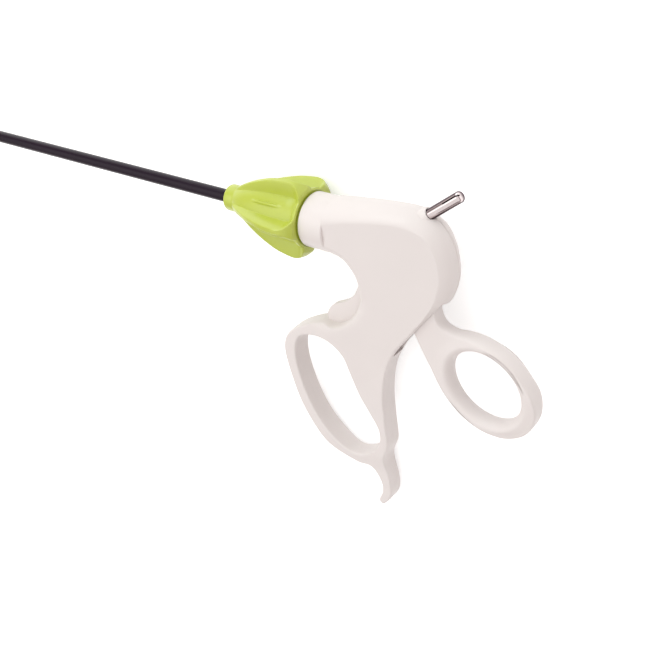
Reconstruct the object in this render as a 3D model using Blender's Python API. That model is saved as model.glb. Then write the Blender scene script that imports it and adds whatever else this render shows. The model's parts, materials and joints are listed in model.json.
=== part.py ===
"""Monopolar laparoscopic scissors, lying on a table on their right side, jaws and handle open.

Sizes are millimetres in the instrument frame: x runs back along the shaft from the nose rim of the
handle, y points up to the connector pin, and z points out of the left side. The frame as a whole is
then laid on the table by lay_on_table, which finds the face the instrument would settle on.
"""

import math

import bmesh
import bpy
from mathutils import Matrix, Vector
from mathutils.geometry import delaunay_2d_cdt

MM = 0.001

# Fits
SEAM_GAP = 0.3
PART_GAP = 0.3
TUBE_GAP = 0.1
WALL = 1.9
WELD = 0.002

# Handle housing
NOSE_RADIUS = 10.15
NOSE_LENGTH = 10.3
NOSE_RIM_ROUND = 0.6
PANEL_HALF = 9.75  # half thickness of the flat side panel, taken back to the nose rim
PANEL_TAPER_X = 0.064
PANEL_TAPER_Y = 0.062
GRIP_HALF = 4.5
# Where the panel drops towards the web, and the stretch over which it thins into the finger loop.
PANEL_EDGE = ((24.6, -20.0), (23.4, -25.2), (20.6, -30.6), (16.4, -35.2), (11.2, -38.6), (4.0, -41.4),
              (-6.0, -44.0))
PANEL_EDGE_ROUND = 3.2
PANEL_FADE_X = (-4.0, 15.0)
# How square the edge of the housing is: 2 is an ellipse, 1 a chamfer. It changes along x.
EDGE_ROUNDNESS = (2.0, 1.35)
EDGE_ROUNDNESS_X = (42.0, 52.0)

# Each row is x, y and the width of the rounded edge at that point of the middle plane.
HOUSING_FRONT = (
    (-6.0, -4.0, 1.0), (-3.0, -8.6, 3.0), (5.0, -9.4, 6.0), (13.7, -10.1, 5.0), (18.0, -12.5, 4.2),
    (21.0, -17.5, 4.0), (20.6, -25.0, 3.6), (14.0, -34.5, 2.2), (1.6, -40.4, 1.5), (-11.8, -48.2, 1.3),
    (-16.6, -57.2, 1.3), (-14.2, -71.1, 1.3), (-8.7, -85.4, 1.3), (1.7, -98.6, 1.3), (15.0, -102.9, 1.3),
    (22.5, -102.6, 1.0), (26.8, -108.0, 1.0), (27.2, -113.5, 1.0), (25.6, -118.0, 0.8), (28.0, -119.8, 0.8),
    (32.0, -114.5, 1.0), (32.2, -106.5, 1.0), (29.3, -96.8, 1.0), (31.4, -89.0, 1.0), (30.5, -78.0, 1.0),
    (29.9, -66.0, 1.0), (31.6, -53.5, 1.0), (36.3, -42.7, 1.0), (43.3, -33.6, 1.0),
)
HOUSING_MOUTH = ((43.3, -33.6, 1.0), (48.3, -27.2, 1.2), (52.8, -22.2, 2.4))
HOUSING_BACK = (
    (52.8, -22.2, 2.4), (57.2, -16.3, 4.0), (59.6, -7.1, 4.6), (57.8, 3.4, 4.6), (52.6, 10.7, 4.4),
    (44.0, 13.2, 4.0), (34.0, 13.0, 4.0), (22.0, 11.9, 5.0), (12.0, 10.8, 6.4), (5.0, 9.8, 6.2),
    (-3.0, 8.6, 3.0), (-6.0, 4.0, 1.0),
)
FINGER_HOLE = (
    (-9.4, -60.5, 1.2), (-7.5, -51.8, 1.2), (-1.0, -48.0, 1.2), (6.5, -47.9, 1.0), (12.4, -51.6, 0.7),
    (15.2, -58.6, 0.6), (18.4, -67.6, 0.6), (23.2, -75.2, 0.6), (27.2, -82.5, 0.8), (26.4, -90.0, 1.0),
    (20.5, -96.2, 1.2), (13.0, -98.1, 1.2), (4.5, -93.1, 1.2), (-2.0, -84.8, 1.2), (-7.2, -72.5, 1.2),
)
WEB_HALF = 1.5
WEB = ((4.2, -42.2), (4.7, -36.6), (8.6, -32.6), (14.7, -29.4), (18.6, -25.4), (22.4, -30.6), (14.0, -38.5))
CAVITY_FLOOR_Y = -45.0
CAVITY_FRONT_X = 18.6
PEG_RADIUS = 1.1
PEG_LENGTH = 2.4
PEG_PLACES = ((24.0, -59.0), (9.4, -43.3), (29.8, -108.5), (-12.2, -63.0))

# Thumb lever
LEVER_PIVOT = (45.0, -11.5)
LEVER_CLOSING = math.radians(24.0)
LEVER_HALF = 3.0
RING_HALF = 4.0
RING_CENTRE = (71.1, -47.3)
RING_HOLE = (14.5, 12.4)
RING_TURN = math.radians(-43.0)
RING_BLEND = (16.0, 21.5)
LEVER_LEFT = (
    (38.9, -5.5, 0.4), (38.6, -12.0, 0.4), (38.8, -19.0, 0.4), (39.8, -26.0, 0.5), (42.7, -33.0, 0.6),
    (47.3, -42.4, 0.9), (52.0, -50.4, 1.4), (57.7, -57.9, 2.0), (64.4, -63.1, 2.0), (72.8, -66.0, 2.0),
    (80.5, -65.2, 2.0), (86.8, -61.6, 2.0), (90.3, -55.5, 2.0), (90.6, -48.8, 2.0), (88.4, -42.8, 2.0),
    (83.8, -36.5, 2.0), (77.8, -31.9, 2.0), (70.7, -29.2, 2.0), (64.2, -28.4, 2.0), (58.8, -28.7, 1.8),
    (54.0, -27.3, 1.2), (51.6, -22.5, 0.6), (51.0, -15.0, 0.4), (49.6, -8.0, 0.4), (46.9, -3.0, 0.4),
)
PIVOT_PIN_RADIUS = 1.5
SLOT_HALF = LEVER_HALF + PART_GAP
SLOT = ((46.0, -18.3), (60.0, -18.3), (57.0, -36.0), (44.5, -40.0), (33.6, -46.5), (33.6, -30.0))

# Drive rod, its ball and the fork that holds the ball
ROD_RADIUS = 0.75
BALL_RADIUS = 2.2
BALL_FLAT = 1.75
FORK_HALF = 4.7
FORK_TOP = 3.3
LEVER_ARM = -LEVER_PIVOT[1]
BALL_REST_X = LEVER_PIVOT[0] - LEVER_ARM * LEVER_CLOSING / 2
ROD_TRAVEL = LEVER_ARM * LEVER_CLOSING

# Shaft and the hub that turns in the nose
SLEEVE_RADIUS = 2.5
SLEEVE_WALL = 0.4
SLEEVE_FRONT_X = -352.0
TUBE_RADIUS = SLEEVE_RADIUS - SLEEVE_WALL - TUBE_GAP
TUBE_WALL = 0.4
TUBE_BORE = TUBE_RADIUS - TUBE_WALL
TUBE_BACK_X = 27.0
HUB_RADIUS = 5.7
HUB_FRONT_X = -8.0
HUB_SHOULDER_X = 13.4
HUB_BACK_X = 20.0
HUB_NECK_RADIUS = 4.4
BEARING_X = (13.8, 16.0)
CLIP_X = (16.4, 17.2)
CLIP_GROOVE_RADIUS = 3.8
CLIP_RADIUS = 6.2
NOSE_WALL = 3.0
HUB_CAVITY = 6.75
FRICTION_RING_X = (3.4, 5.2)
FRICTION_RING_RADIUS = 7.6
SEAL_X = (22.0, 26.0)

# Rotation knob
KNOB_BACK_X = -0.5
KNOB_LENGTH = 39.0
COLLAR_LENGTH = 5.0
COLLAR_RADIUS = 5.1
KNOB_WINGS = 5
KNOB_TURN = math.radians(18.0)
# Each row is x and a radius, along the crest of a wing and along the floor of a flute.
WING_PROFILE = ((-34.5, 5.6), (-32.8, 6.9), (-28.5, 9.4), (-24.0, 11.6), (-20.0, 13.2), (-15.0, 14.8),
                (-10.0, 15.7), (-6.5, 16.0), (-4.0, 15.5), (-2.2, 14.4), (-0.5, 12.6))
FLUTE_PROFILE = ((-34.5, 5.3), (-32.8, 6.2), (-28.5, 7.6), (-22.0, 8.9), (-14.0, 9.8), (-7.0, 10.3),
                 (-3.0, 10.5), (-1.4, 11.1), (-0.5, 10.9))
# A wing's crest and the foot of its walls, as shares of the pitch to each side of its middle.
WING_CREST = 0.065
WING_FOOT = 0.16
WING_FLARE = 0.06
WING_FLARE_X = (-5.5, -1.0)
KNOB_PHASES = (0.0, 0.065, 0.1, 0.16, 0.23, 0.32, 0.41, 0.5, 0.59, 0.68, 0.77, 0.84, 0.9, 0.935)
FLUTE_RIB_X = (-24.0, -7.5)
FLUTE_RIB_HEIGHT = 0.6
FLUTE_RIB_WIDTH = 1.1

# Connector pin and the leaf that feeds the shaft
PIN_RADIUS = 2.0
PIN_FOOT = (48.2, 12.6)
PIN_LEAN = math.radians(38.0)
PIN_REACH = 15.2
PIN_DEPTH = 5.6
PIN_FLANGE_RADIUS = 3.0
PIN_FLANGE_THICK = 1.2
PIN_BOSS_RADIUS = 3.1
PIN_BOSS_HEIGHT = 1.45
LEAF_THICK = 0.35
LEAF_HALF = 1.5
LEAF_PATH = ((42.2, 5.9), (38.0, 7.2), (32.0, 6.6), (27.6, 3.6), (25.2, 2.35), (22.6, 3.0))

# Jaws
JAW_PIVOT_X = -364.5
JAW_OPENING = math.radians(16.0)
DRIVE_PIN_NEAR = 2.6
DRIVE_PIN_RADIUS = 0.5
JAW_PIN_RADIUS = 0.7
SLOT_PLAY = 0.15
BLADE_LENGTH = 17.0
BLADE_THICK = 0.62
BLADE_SIDE_GAP = 0.06
BLADE_CURVE = 2.6
BLADE_ROOT_HALF = 1.7
BLADE_TIP_HALF = 0.55
TANG_HALF = 1.35
YOKE_CHEEK = (0.86, 1.32)
YOKE_HALF = 0.95
YOKE_PLAY = 0.08
CLEVIS_RADIUS = SLEEVE_RADIUS - TUBE_GAP
CLEVIS_SLOT_HALF = YOKE_CHEEK[1] + 2 * YOKE_PLAY
CLEVIS_FRONT_X = JAW_PIVOT_X - 2.2
CLEVIS_RING = 1.2
CLEVIS_CHAMBER_OVERLAP = 1.0
CLEVIS_SLOT_END_X = -346.8
CLEVIS_SPIGOT_X = (-345.6, -341.0)
YOKE_FORK = 6.3
YOKE_LENGTH = 9.0
ROD_IN_YOKE = 2.2

PLASTIC, STEEL, RUBBER = 1050.0, 7900.0, 1150.0


def clear_scene():
    for obj in list(bpy.data.objects):
        bpy.data.objects.remove(obj, do_unlink=True)


def material(name, colour, roughness, metallic=0.0, density=PLASTIC):
    made = bpy.data.materials.new(name)
    made.use_nodes = True
    shader = made.node_tree.nodes["Principled BSDF"]
    shader.inputs["Base Color"].default_value = (*colour, 1.0)
    shader.inputs["Roughness"].default_value = roughness
    shader.inputs["Metallic"].default_value = metallic
    made.diffuse_color = (*colour, 1.0)
    made["density"] = density
    return made


def spline(points, steps, closed=False):
    """Points along a smooth curve through the given ones, any number of values to a point."""
    count = len(points)
    spans = count if closed else count - 1
    found = []
    for i in range(spans):
        if closed:
            rows = [points[(i + k) % count] for k in (-1, 0, 1, 2)]
        else:
            rows = [points[max(0, min(count - 1, i + k))] for k in (-1, 0, 1, 2)]
        for step in range(steps):
            t = step / steps
            weights = (-t + 2 * t**2 - t**3, 2 - 5 * t**2 + 3 * t**3, t + 4 * t**2 - 3 * t**3, t**3 - t**2)
            found.append(tuple(0.5 * sum(w * row[k] for w, row in zip(weights, rows))
                               for k in range(len(points[0]))))
    return found if closed else found + [tuple(points[-1])]


def housing_outline(steps):
    runs = [spline(run, steps)[:-1] for run in (HOUSING_FRONT, HOUSING_MOUTH, HOUSING_BACK)]
    return runs[0] + runs[1] + runs[2] + [HOUSING_BACK[-1]]


def lever_outline(steps):
    lean = -LEVER_CLOSING / 2
    along = Vector((math.sin(lean), math.cos(lean)))
    across = Vector((along.y, -along.x))
    ball = Vector((BALL_REST_X, 0.0))
    left = ball + FORK_TOP * along - FORK_HALF * across
    right = ball + FORK_TOP * along + FORK_HALF * across
    return [(*left, 0.4), *spline(LEVER_LEFT, steps), (*right, 0.4)]


def ring_hole(count):
    turn = (math.cos(RING_TURN), math.sin(RING_TURN))
    found = []
    for i in range(count):
        angle = 2 * math.pi * i / count
        u, v = RING_HOLE[0] * math.cos(angle), RING_HOLE[1] * math.sin(angle)
        found.append((RING_CENTRE[0] + u * turn[0] - v * turn[1], RING_CENTRE[1] + u * turn[1] + v * turn[0], 2.0))
    return found


def rise(value):
    """A quarter of an ellipse from 0 to 1, flat beyond."""
    short = 1 - max(0.0, min(1.0, value))
    return math.sqrt(1 - short * short)


def smooth(value):
    """From 0 to 1 with a level start and end."""
    value = max(0.0, min(1.0, value))
    return value * value * (3 - 2 * value)


def inside_line(x, y, line):
    """Distance from a run of points, counted as negative on its right-hand side."""
    best = (1e9, 0.0)
    for (x0, y0), (x1, y1) in zip(line, line[1:]):
        dx, dy = x1 - x0, y1 - y0
        t = max(0.0, min(1.0, ((x - x0) * dx + (y - y0) * dy) / (dx * dx + dy * dy)))
        away = math.hypot(x - x0 - t * dx, y - y0 - t * dy)
        side = dx * (y - y0) - dy * (x - x0)
        best = min(best, (away, side))
    return math.copysign(best[0], best[1])


def housing_half_at(x, y):
    """Half thickness of the housing: the tapered side panel, falling to the finger loop's."""
    panel = PANEL_HALF - PANEL_TAPER_X * x + PANEL_TAPER_Y * y
    share = 1.0
    if y < PANEL_EDGE[0][1]:
        x0, x1 = PANEL_FADE_X
        share = rise(inside_line(x, y, PANEL_EDGE) / PANEL_EDGE_ROUND) * smooth((x - x0) / (x1 - x0))
    return GRIP_HALF + max(0.0, panel - GRIP_HALF) * share


def panel_edge_spots():
    """Points at the foot, part way up and at the top of the edge where the panel drops."""
    found = []
    for i, (x, y) in enumerate(PANEL_EDGE):
        before, after = PANEL_EDGE[max(0, i - 1)], PANEL_EDGE[min(len(PANEL_EDGE) - 1, i + 1)]
        along = Vector((after[0] - before[0], after[1] - before[1])).normalized()
        for share in (0.03, 0.3, 1.0):
            rise_by = share * PANEL_EDGE_ROUND
            found.append((x - along.y * rise_by, y + along.x * rise_by))
    return found


def housing_roundness_at(x, y):
    (n0, n1), (x0, x1) = EDGE_ROUNDNESS, EDGE_ROUNDNESS_X
    return n0 + (n1 - n0) * smooth((x - x0) / (x1 - x0))


def lever_half_at(x, y):
    near, far = RING_BLEND
    distance = math.hypot(x - RING_CENTRE[0], y - RING_CENTRE[1])
    t = max(0.0, min(1.0, (far - distance) / (far - near)))
    return LEVER_HALF + (RING_HALF - LEVER_HALF) * t * t * (3 - 2 * t)


def area_of(loop):
    return sum(a[0] * b[1] - b[0] * a[1] for a, b in zip(loop, loop[1:] + loop[:1])) / 2


def inset(loop, distances, outwards=False):
    """Each point of a loop moved by its own distance towards the inside."""
    turn = 1.0 if (area_of(loop) > 0) != outwards else -1.0
    moved = []
    count = len(loop)
    for i, point in enumerate(loop):
        before, after = loop[i - 1], loop[(i + 1) % count]
        dx, dy = after[0] - before[0], after[1] - before[1]
        size = math.hypot(dx, dy) or 1.0
        moved.append((point[0] - turn * dy / size * distances[i], point[1] + turn * dx / size * distances[i]))
    return moved


def inside_loop(point, loop):
    x, y = point
    odd = False
    for a, b in zip(loop, loop[1:] + loop[:1]):
        if (a[1] > y) != (b[1] > y) and x < a[0] + (y - a[1]) * (b[0] - a[0]) / (b[1] - a[1]):
            odd = not odd
    return odd


def distance_to_loop(point, loop):
    here = Vector(point)
    best = 1e9
    for a, b in zip(loop, loop[1:] + loop[:1]):
        start, along = Vector(a), Vector(b) - Vector(a)
        t = max(0.0, min(1.0, (here - start).dot(along) / max(along.length_squared, 1e-12)))
        best = min(best, (here - start - t * along).length)
    return best


def filled(loops, spacing=0.0, extra=()):
    """Triangles over the area between an outer loop and its holes, with a grid and extra points inside if asked."""
    points, edges = [], []
    for loop in loops:
        start = len(points)
        points += [Vector(p[:2]) for p in loop]
        edges += [(start + i, start + (i + 1) % len(loop)) for i in range(len(loop))]
    def fits(spot, clearance):
        return (inside_loop(spot, loops[0]) and not any(inside_loop(spot, hole) for hole in loops[1:])
                and min(distance_to_loop(spot, loop) for loop in loops) > clearance)
    creases = [Vector(spot) for spot in extra if fits(spot, 0.5)]
    if spacing:
        xs = [p.x for p in points]
        ys = [p.y for p in points]
        rows = math.ceil((max(ys) - min(ys)) / (spacing * 0.87))
        columns = math.ceil((max(xs) - min(xs)) / spacing)
        for row in range(rows):
            for column in range(columns):
                spot = (min(xs) + (column + 0.5 * (row % 2)) * spacing, min(ys) + row * spacing * 0.87)
                if fits(spot, 0.45 * spacing) and all((c - Vector(spot)).length > 0.45 * spacing for c in creases):
                    points.append(Vector(spot))
    points += creases
    spots, _, faces, _, _, _ = delaunay_2d_cdt(points, edges, [], 1, 1e-5)
    kept = []
    for face in faces:
        middle = sum((spots[i] for i in face), Vector((0, 0))) / len(face)
        if inside_loop(middle, loops[0]) and not any(inside_loop(middle, hole) for hole in loops[1:]):
            kept.append(face)
    return spots, kept


def crowned(loops, half_at, low, steps, spacing=0.0, both=False, roundness_at=lambda x, y: 2.0, extra=()):
    """A plate whose edge rounds over from the middle plane: loops hold x, y and the width of the rounding."""
    bm = bmesh.new()
    angles = [math.pi / 2 * k / steps for k in range(steps + 1)]
    if both:
        angles = [-a for a in reversed(angles[1:])] + angles
    tops, bottoms = [], []
    for index, loop in enumerate(loops):
        outwards = index > 0
        flat = [p[:2] for p in loop]
        widths = [p[2] for p in loop]
        rim = inset(flat, widths, outwards)
        halves = [half_at(*p) for p in rim]
        powers = [2 / roundness_at(*p) for p in flat]
        rings = []
        for angle in angles:
            ring = inset(flat, [w * (1 - max(0.0, math.cos(angle)) ** p) for w, p in zip(widths, powers)], outwards)
            heights = [low + (h - low) * abs(math.sin(angle)) ** p for h, p in zip(halves, powers)]
            rings.append([bm.verts.new((x, y, math.copysign(z, angle) if both else z))
                          for (x, y), z in zip(ring, heights)])
        for lower, upper in zip(rings, rings[1:]):
            for i in range(len(flat)):
                j = (i + 1) % len(flat)
                bm.faces.new((lower[i], lower[j], upper[j], upper[i]))
        tops.append(rings[-1])
        bottoms.append(rings[0])
    for rings, sign in ((tops, 1), (bottoms, -1)):
        known = [v for ring in rings for v in ring]
        spots, faces = filled([[(v.co.x, v.co.y) for v in ring] for ring in rings],
                              spacing if sign > 0 or both else 0.0, extra if sign > 0 else ())
        verts = []
        for spot in spots:
            close = min(known, key=lambda v: (v.co.x - spot.x) ** 2 + (v.co.y - spot.y) ** 2)
            if (close.co.xy - spot).length < 1e-3:
                verts.append(close)
            else:
                height = half_at(*spot) if sign > 0 or both else low
                verts.append(bm.verts.new((spot.x, spot.y, sign * height if both else height)))
        for face in faces:
            corners = [verts[i] for i in face]
            if len(set(corners)) == 3:
                bm.faces.new(corners)
    bmesh.ops.recalc_face_normals(bm, faces=bm.faces)
    return bm


def prism(loop, low, high):
    bm = bmesh.new()
    base = [bm.verts.new((p[0], p[1], low)) for p in loop]
    face = bm.faces.new(base)
    top = bmesh.ops.extrude_face_region(bm, geom=[face])
    bmesh.ops.translate(bm, vec=(0, 0, high - low), verts=[v for v in top["geom"] if isinstance(v, bmesh.types.BMVert)])
    bmesh.ops.recalc_face_normals(bm, faces=bm.faces)
    return bm


def turned(profile, sides, hollow=False):
    """A solid turned about the x axis from rows of x and radius; a hollow one closes on itself."""
    bm = bmesh.new()
    rings = []
    for x, radius in profile:
        if radius == 0:
            rings.append([bm.verts.new((x, 0, 0))] * sides)
            continue
        rings.append([bm.verts.new((x, radius * math.cos(2 * math.pi * i / sides),
                                    radius * math.sin(2 * math.pi * i / sides))) for i in range(sides)])
    pairs = list(zip(rings, rings[1:])) + ([(rings[-1], rings[0])] if hollow else [])
    for first, second in pairs:
        for i in range(sides):
            j = (i + 1) % sides
            corners = list(dict.fromkeys((first[i], first[j], second[j], second[i])))
            if len(corners) > 2:
                bm.faces.new(corners)
    if not hollow:
        for ring in (rings[0], rings[-1]):
            if ring[0] is not ring[1]:
                bm.faces.new(ring)
    bmesh.ops.recalc_face_normals(bm, faces=bm.faces)
    return bm


def box(low, high):
    bm = bmesh.new()
    bmesh.ops.create_cube(bm, size=1.0)
    for v in bm.verts:
        v.co = [low[k] if v.co[k] < 0 else high[k] for k in range(3)]
    return bm


def rod_along(start, end, radius, sides=24, chamfer=0.0):
    """A round bar between two points, with its ends chamfered if asked."""
    start, end = Vector(start), Vector(end)
    length = (end - start).length
    if chamfer:
        rows = ((0, radius - chamfer), (chamfer, radius), (length - chamfer, radius), (length, radius - chamfer))
    else:
        rows = ((0, radius), (length, radius))
    bm = turned(rows, sides)
    turn = (end - start).to_track_quat("X", "Z").to_matrix().to_4x4()
    half_facet = Matrix.Rotation(math.pi / sides, 4, "X")
    bm.transform(Matrix.Translation(start) @ turn @ half_facet)
    return bm


def place(name, bm, finish, frame, origin=(0, 0, 0), turn=0.0, sharp=35.0):
    """The finished object: its mesh in metres about its own origin, under the instrument frame."""
    bm.transform(Matrix.Scale(MM, 4) @ Matrix.Translation(-Vector(origin)))
    mesh = bpy.data.meshes.new(name)
    bm.to_mesh(mesh)
    bm.free()
    mesh.shade_smooth()
    mesh.set_sharp_from_angle(angle=math.radians(sharp))
    obj = bpy.data.objects.new(name, mesh)
    bpy.context.scene.collection.objects.link(obj)
    if finish:
        mesh.materials.append(finish)
    obj.parent = frame
    obj.location = Vector(origin) * MM
    obj.rotation_euler = (0, 0, turn)
    return obj


def carve(obj, bm, frame, operation="DIFFERENCE"):
    """A hidden cutter, and the Boolean that uses it."""
    cutter = place(f"{obj.name}_cut{len(obj.modifiers)}", bm, None, frame)
    cutter.hide_render = True
    cutter.display_type = "WIRE"
    step = obj.modifiers.new(cutter.name, "BOOLEAN")
    step.object = cutter
    step.operation = operation
    step.solver = "EXACT"
    return cutter


def tidy_cuts(obj):
    """Joins the points that the cuts left all but on top of each other, and splits the faces evenly."""
    step = obj.modifiers.new("weld", "WELD")
    step.merge_threshold = WELD * MM
    step = obj.modifiers.new("triangles", "TRIANGULATE")
    step.ngon_method = "BEAUTY"


def mirrored(bm, side):
    if side < 0:
        bm.transform(Matrix.Scale(-1, 4, (0, 0, 1)))
        bmesh.ops.reverse_faces(bm, faces=bm.faces)
    return bm


def cavity_outline(steps):
    """The housing outline one wall further in, ended above the solid grip."""
    outline = housing_outline(steps)
    inner = inset([p[:2] for p in outline], [WALL] * len(outline))
    kept = [(x, y, max(0.6, p[2] - 0.6)) for (x, y), p in zip(inner, outline)
            if y > CAVITY_FLOOR_Y and x > CAVITY_FRONT_X]
    return kept


def pin_spot(distance, across=0.0):
    """A point on the connector pin's axis, so far out of its foot."""
    x = PIN_FOOT[0] + distance * math.cos(PIN_LEAN) - across * math.sin(PIN_LEAN)
    return (x, PIN_FOOT[1] + distance * math.sin(PIN_LEAN) + across * math.cos(PIN_LEAN), 0.0)


def housing_half(name, side, finish, frame):
    low = SEAM_GAP / 2
    hole = spline(FINGER_HOLE, 2, closed=True)
    shell = crowned([housing_outline(2), hole], housing_half_at, -0.5, 4, 7.0, roundness_at=housing_roundness_at,
                    extra=panel_edge_spots())
    obj = place(name, mirrored(shell, side), finish, frame, sharp=28)
    ahead = box((-30, -NOSE_RADIUS - 1, -30), (NOSE_WALL, 30, 30))
    carve(obj, mirrored(ahead, side), frame)
    rim = NOSE_RIM_ROUND
    nose = turned(((0.0, NOSE_RADIUS - rim), (rim, NOSE_RADIUS), (NOSE_LENGTH, NOSE_RADIUS)), 48)
    carve(obj, mirrored(nose, side), frame, "UNION")
    boss = rod_along(pin_spot(-4.0), pin_spot(PIN_BOSS_HEIGHT), PIN_BOSS_RADIUS)
    carve(obj, mirrored(boss, side), frame, "UNION")
    web = prism(WEB, -1.0, WEB_HALF)
    carve(obj, mirrored(web, side), frame, "UNION")
    cavity = crowned([cavity_outline(2)], lambda x, y: max(2.0, housing_half_at(x, y) - WALL), -1.0, 3)
    carve(obj, mirrored(cavity, side), frame)
    slot = prism(SLOT, -1.0, SLOT_HALF)
    carve(obj, mirrored(slot, side), frame)
    bore = NOSE_RADIUS - WALL
    front_bore = HUB_RADIUS + PART_GAP
    back_bore = HUB_NECK_RADIUS + PART_GAP
    passage = turned(((-1.0, front_bore), (NOSE_WALL, front_bore), (NOSE_WALL, bore), (BEARING_X[0], bore),
                      (BEARING_X[0], back_bore), (BEARING_X[1], back_bore), (BEARING_X[1], HUB_CAVITY),
                      (23.0, HUB_CAVITY)), 32)
    passage.transform(Matrix.Rotation(math.pi / 32, 4, "X"))
    carve(obj, mirrored(passage, side), frame)
    boss_top = housing_half_at(*LEVER_PIVOT) - WALL / 2
    pivot_boss = rod_along((*LEVER_PIVOT, SLOT_HALF), (*LEVER_PIVOT, boss_top), 3.2)
    carve(obj, mirrored(pivot_boss, side), frame, "UNION")
    pivot_hole = rod_along((*LEVER_PIVOT, -1.0), (*LEVER_PIVOT, boss_top - 0.4), PIVOT_PIN_RADIUS + PART_GAP, 20)
    carve(obj, mirrored(pivot_hole, side), frame)
    pin_hole = rod_along(pin_spot(-9.0), pin_spot(4.0), PIN_RADIUS + PART_GAP)
    carve(obj, mirrored(pin_hole, side), frame)
    flange = rod_along(pin_spot(-PIN_DEPTH - 4), pin_spot(-PIN_DEPTH + PIN_FLANGE_THICK + 1.0),
                       PIN_FLANGE_RADIUS + PART_GAP)
    carve(obj, mirrored(flange, side), frame)
    half_space = box((-30, -130, -30), (70, 30, low))
    if side < 0:
        for spot in PEG_PLACES:
            socket = rod_along((*spot, 1.0), (*spot, -PEG_LENGTH - PART_GAP), PEG_RADIUS + PART_GAP, 16)
            carve(obj, socket, frame)
    carve(obj, mirrored(half_space, side), frame)
    if side > 0:
        for spot in PEG_PLACES:
            peg = rod_along((*spot, 1.0), (*spot, -PEG_LENGTH), PEG_RADIUS, 16, 0.3)
            carve(obj, peg, frame, "UNION")
    tidy_cuts(obj)
    return obj


def thumb_lever(finish, frame):
    plate = crowned([lever_outline(2), ring_hole(32)], lever_half_at, 0.0, 3, 8.0, both=True)
    obj = place("thumb_lever", plate, finish, frame, origin=(*LEVER_PIVOT, 0.0), sharp=28)
    reach = LEVER_HALF + 1
    carve(obj, rod_along((*LEVER_PIVOT, -reach), (*LEVER_PIVOT, reach), PIVOT_PIN_RADIUS + PART_GAP / 2, 20), frame)
    lean = Matrix.Translation((*LEVER_PIVOT, 0)) @ Matrix.Rotation(LEVER_CLOSING / 2, 4, "Z")
    half = BALL_RADIUS + PART_GAP / 2
    notch = box((-half, LEVER_ARM - half, -reach), (half, LEVER_ARM + FORK_TOP + 2, reach))
    notch.transform(lean)
    carve(obj, notch, frame)
    slit_half = ROD_RADIUS + 2 * PART_GAP
    slit = box((-FORK_HALF - 2, LEVER_ARM - half, -slit_half), (0, LEVER_ARM + FORK_TOP + 2, slit_half))
    slit.transform(lean)
    carve(obj, slit, frame)
    return obj


def knob_radius(x, angle):
    """Narrow wings with broad flutes between them. The wings widen towards the back rim."""
    def at(profile):
        for (x0, r0), (x1, r1) in zip(profile, profile[1:]):
            if x <= x1:
                return r0 + (r1 - r0) * max(0.0, x - x0) / (x1 - x0)
        return profile[-1][1]
    pitch = 2 * math.pi / KNOB_WINGS
    phase = ((angle - KNOB_TURN) / pitch + 0.5) % 1.0 - 0.5
    x0, x1 = WING_FLARE_X
    flare = WING_FLARE * smooth((x - x0) / (x1 - x0))
    wing = 1 - smooth((abs(phase) - WING_CREST - flare) / (WING_FOOT - WING_CREST))
    return at(FLUTE_PROFILE) + (at(WING_PROFILE) - at(FLUTE_PROFILE)) * wing


def knob_solid(stations):
    bm = bmesh.new()
    pitch = 2 * math.pi / KNOB_WINGS
    angles = [KNOB_TURN + (k + phase) * pitch for k in range(KNOB_WINGS) for phase in KNOB_PHASES]
    sides = len(angles)
    rings = []
    for x in stations:
        rings.append([])
        for angle in angles:
            radius = COLLAR_RADIUS if x < WING_PROFILE[0][0] else knob_radius(x, angle)
            if x <= stations[0]:
                radius -= 0.8
            rings[-1].append(bm.verts.new((x, radius * math.cos(angle), radius * math.sin(angle))))
    for first, second in zip(rings, rings[1:]):
        for i in range(sides):
            j = (i + 1) % sides
            bm.faces.new((first[i], first[j], second[j], second[i]))
    bm.faces.new(rings[0])
    bm.faces.new(rings[-1])
    bmesh.ops.recalc_face_normals(bm, faces=bm.faces)
    return bm


def rotation_knob(finish, frame):
    front = KNOB_BACK_X - KNOB_LENGTH
    stations = [front, front + 0.8, WING_PROFILE[0][0] - 0.4] + [x for x, _ in WING_PROFILE[:-1]] + [KNOB_BACK_X]
    obj = place("rotation_knob", knob_solid(stations), finish, frame, sharp=40)
    for k in range(KNOB_WINGS):
        angle = KNOB_TURN + (k + 0.5) * 2 * math.pi / KNOB_WINGS
        x0, x1 = FLUTE_RIB_X
        r0, r1 = knob_radius(x0, angle), knob_radius(x1, angle)
        low = min(r0, r1) - 2.5
        outer = ((x0, r0 - 0.3), (x0 + 3, knob_radius(x0 + 3, angle) + FLUTE_RIB_HEIGHT),
                 (x1 - 3, knob_radius(x1 - 3, angle) + FLUTE_RIB_HEIGHT), (x1, r1 - 0.3))
        rib = prism(((x0, low), *outer, (x1, low)), -FLUTE_RIB_WIDTH / 2, FLUTE_RIB_WIDTH / 2)
        rib.transform(Matrix.Rotation(angle, 4, "X"))
        carve(obj, rib, frame, "UNION")
    sleeve_bore = SLEEVE_RADIUS + PART_GAP
    hub_bore = HUB_RADIUS + PART_GAP
    inner = HUB_FRONT_X - PART_GAP
    carve(obj, turned(((front - 1, sleeve_bore), (inner, sleeve_bore), (inner, hub_bore), (1, hub_bore)), 32), frame)
    return obj


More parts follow.
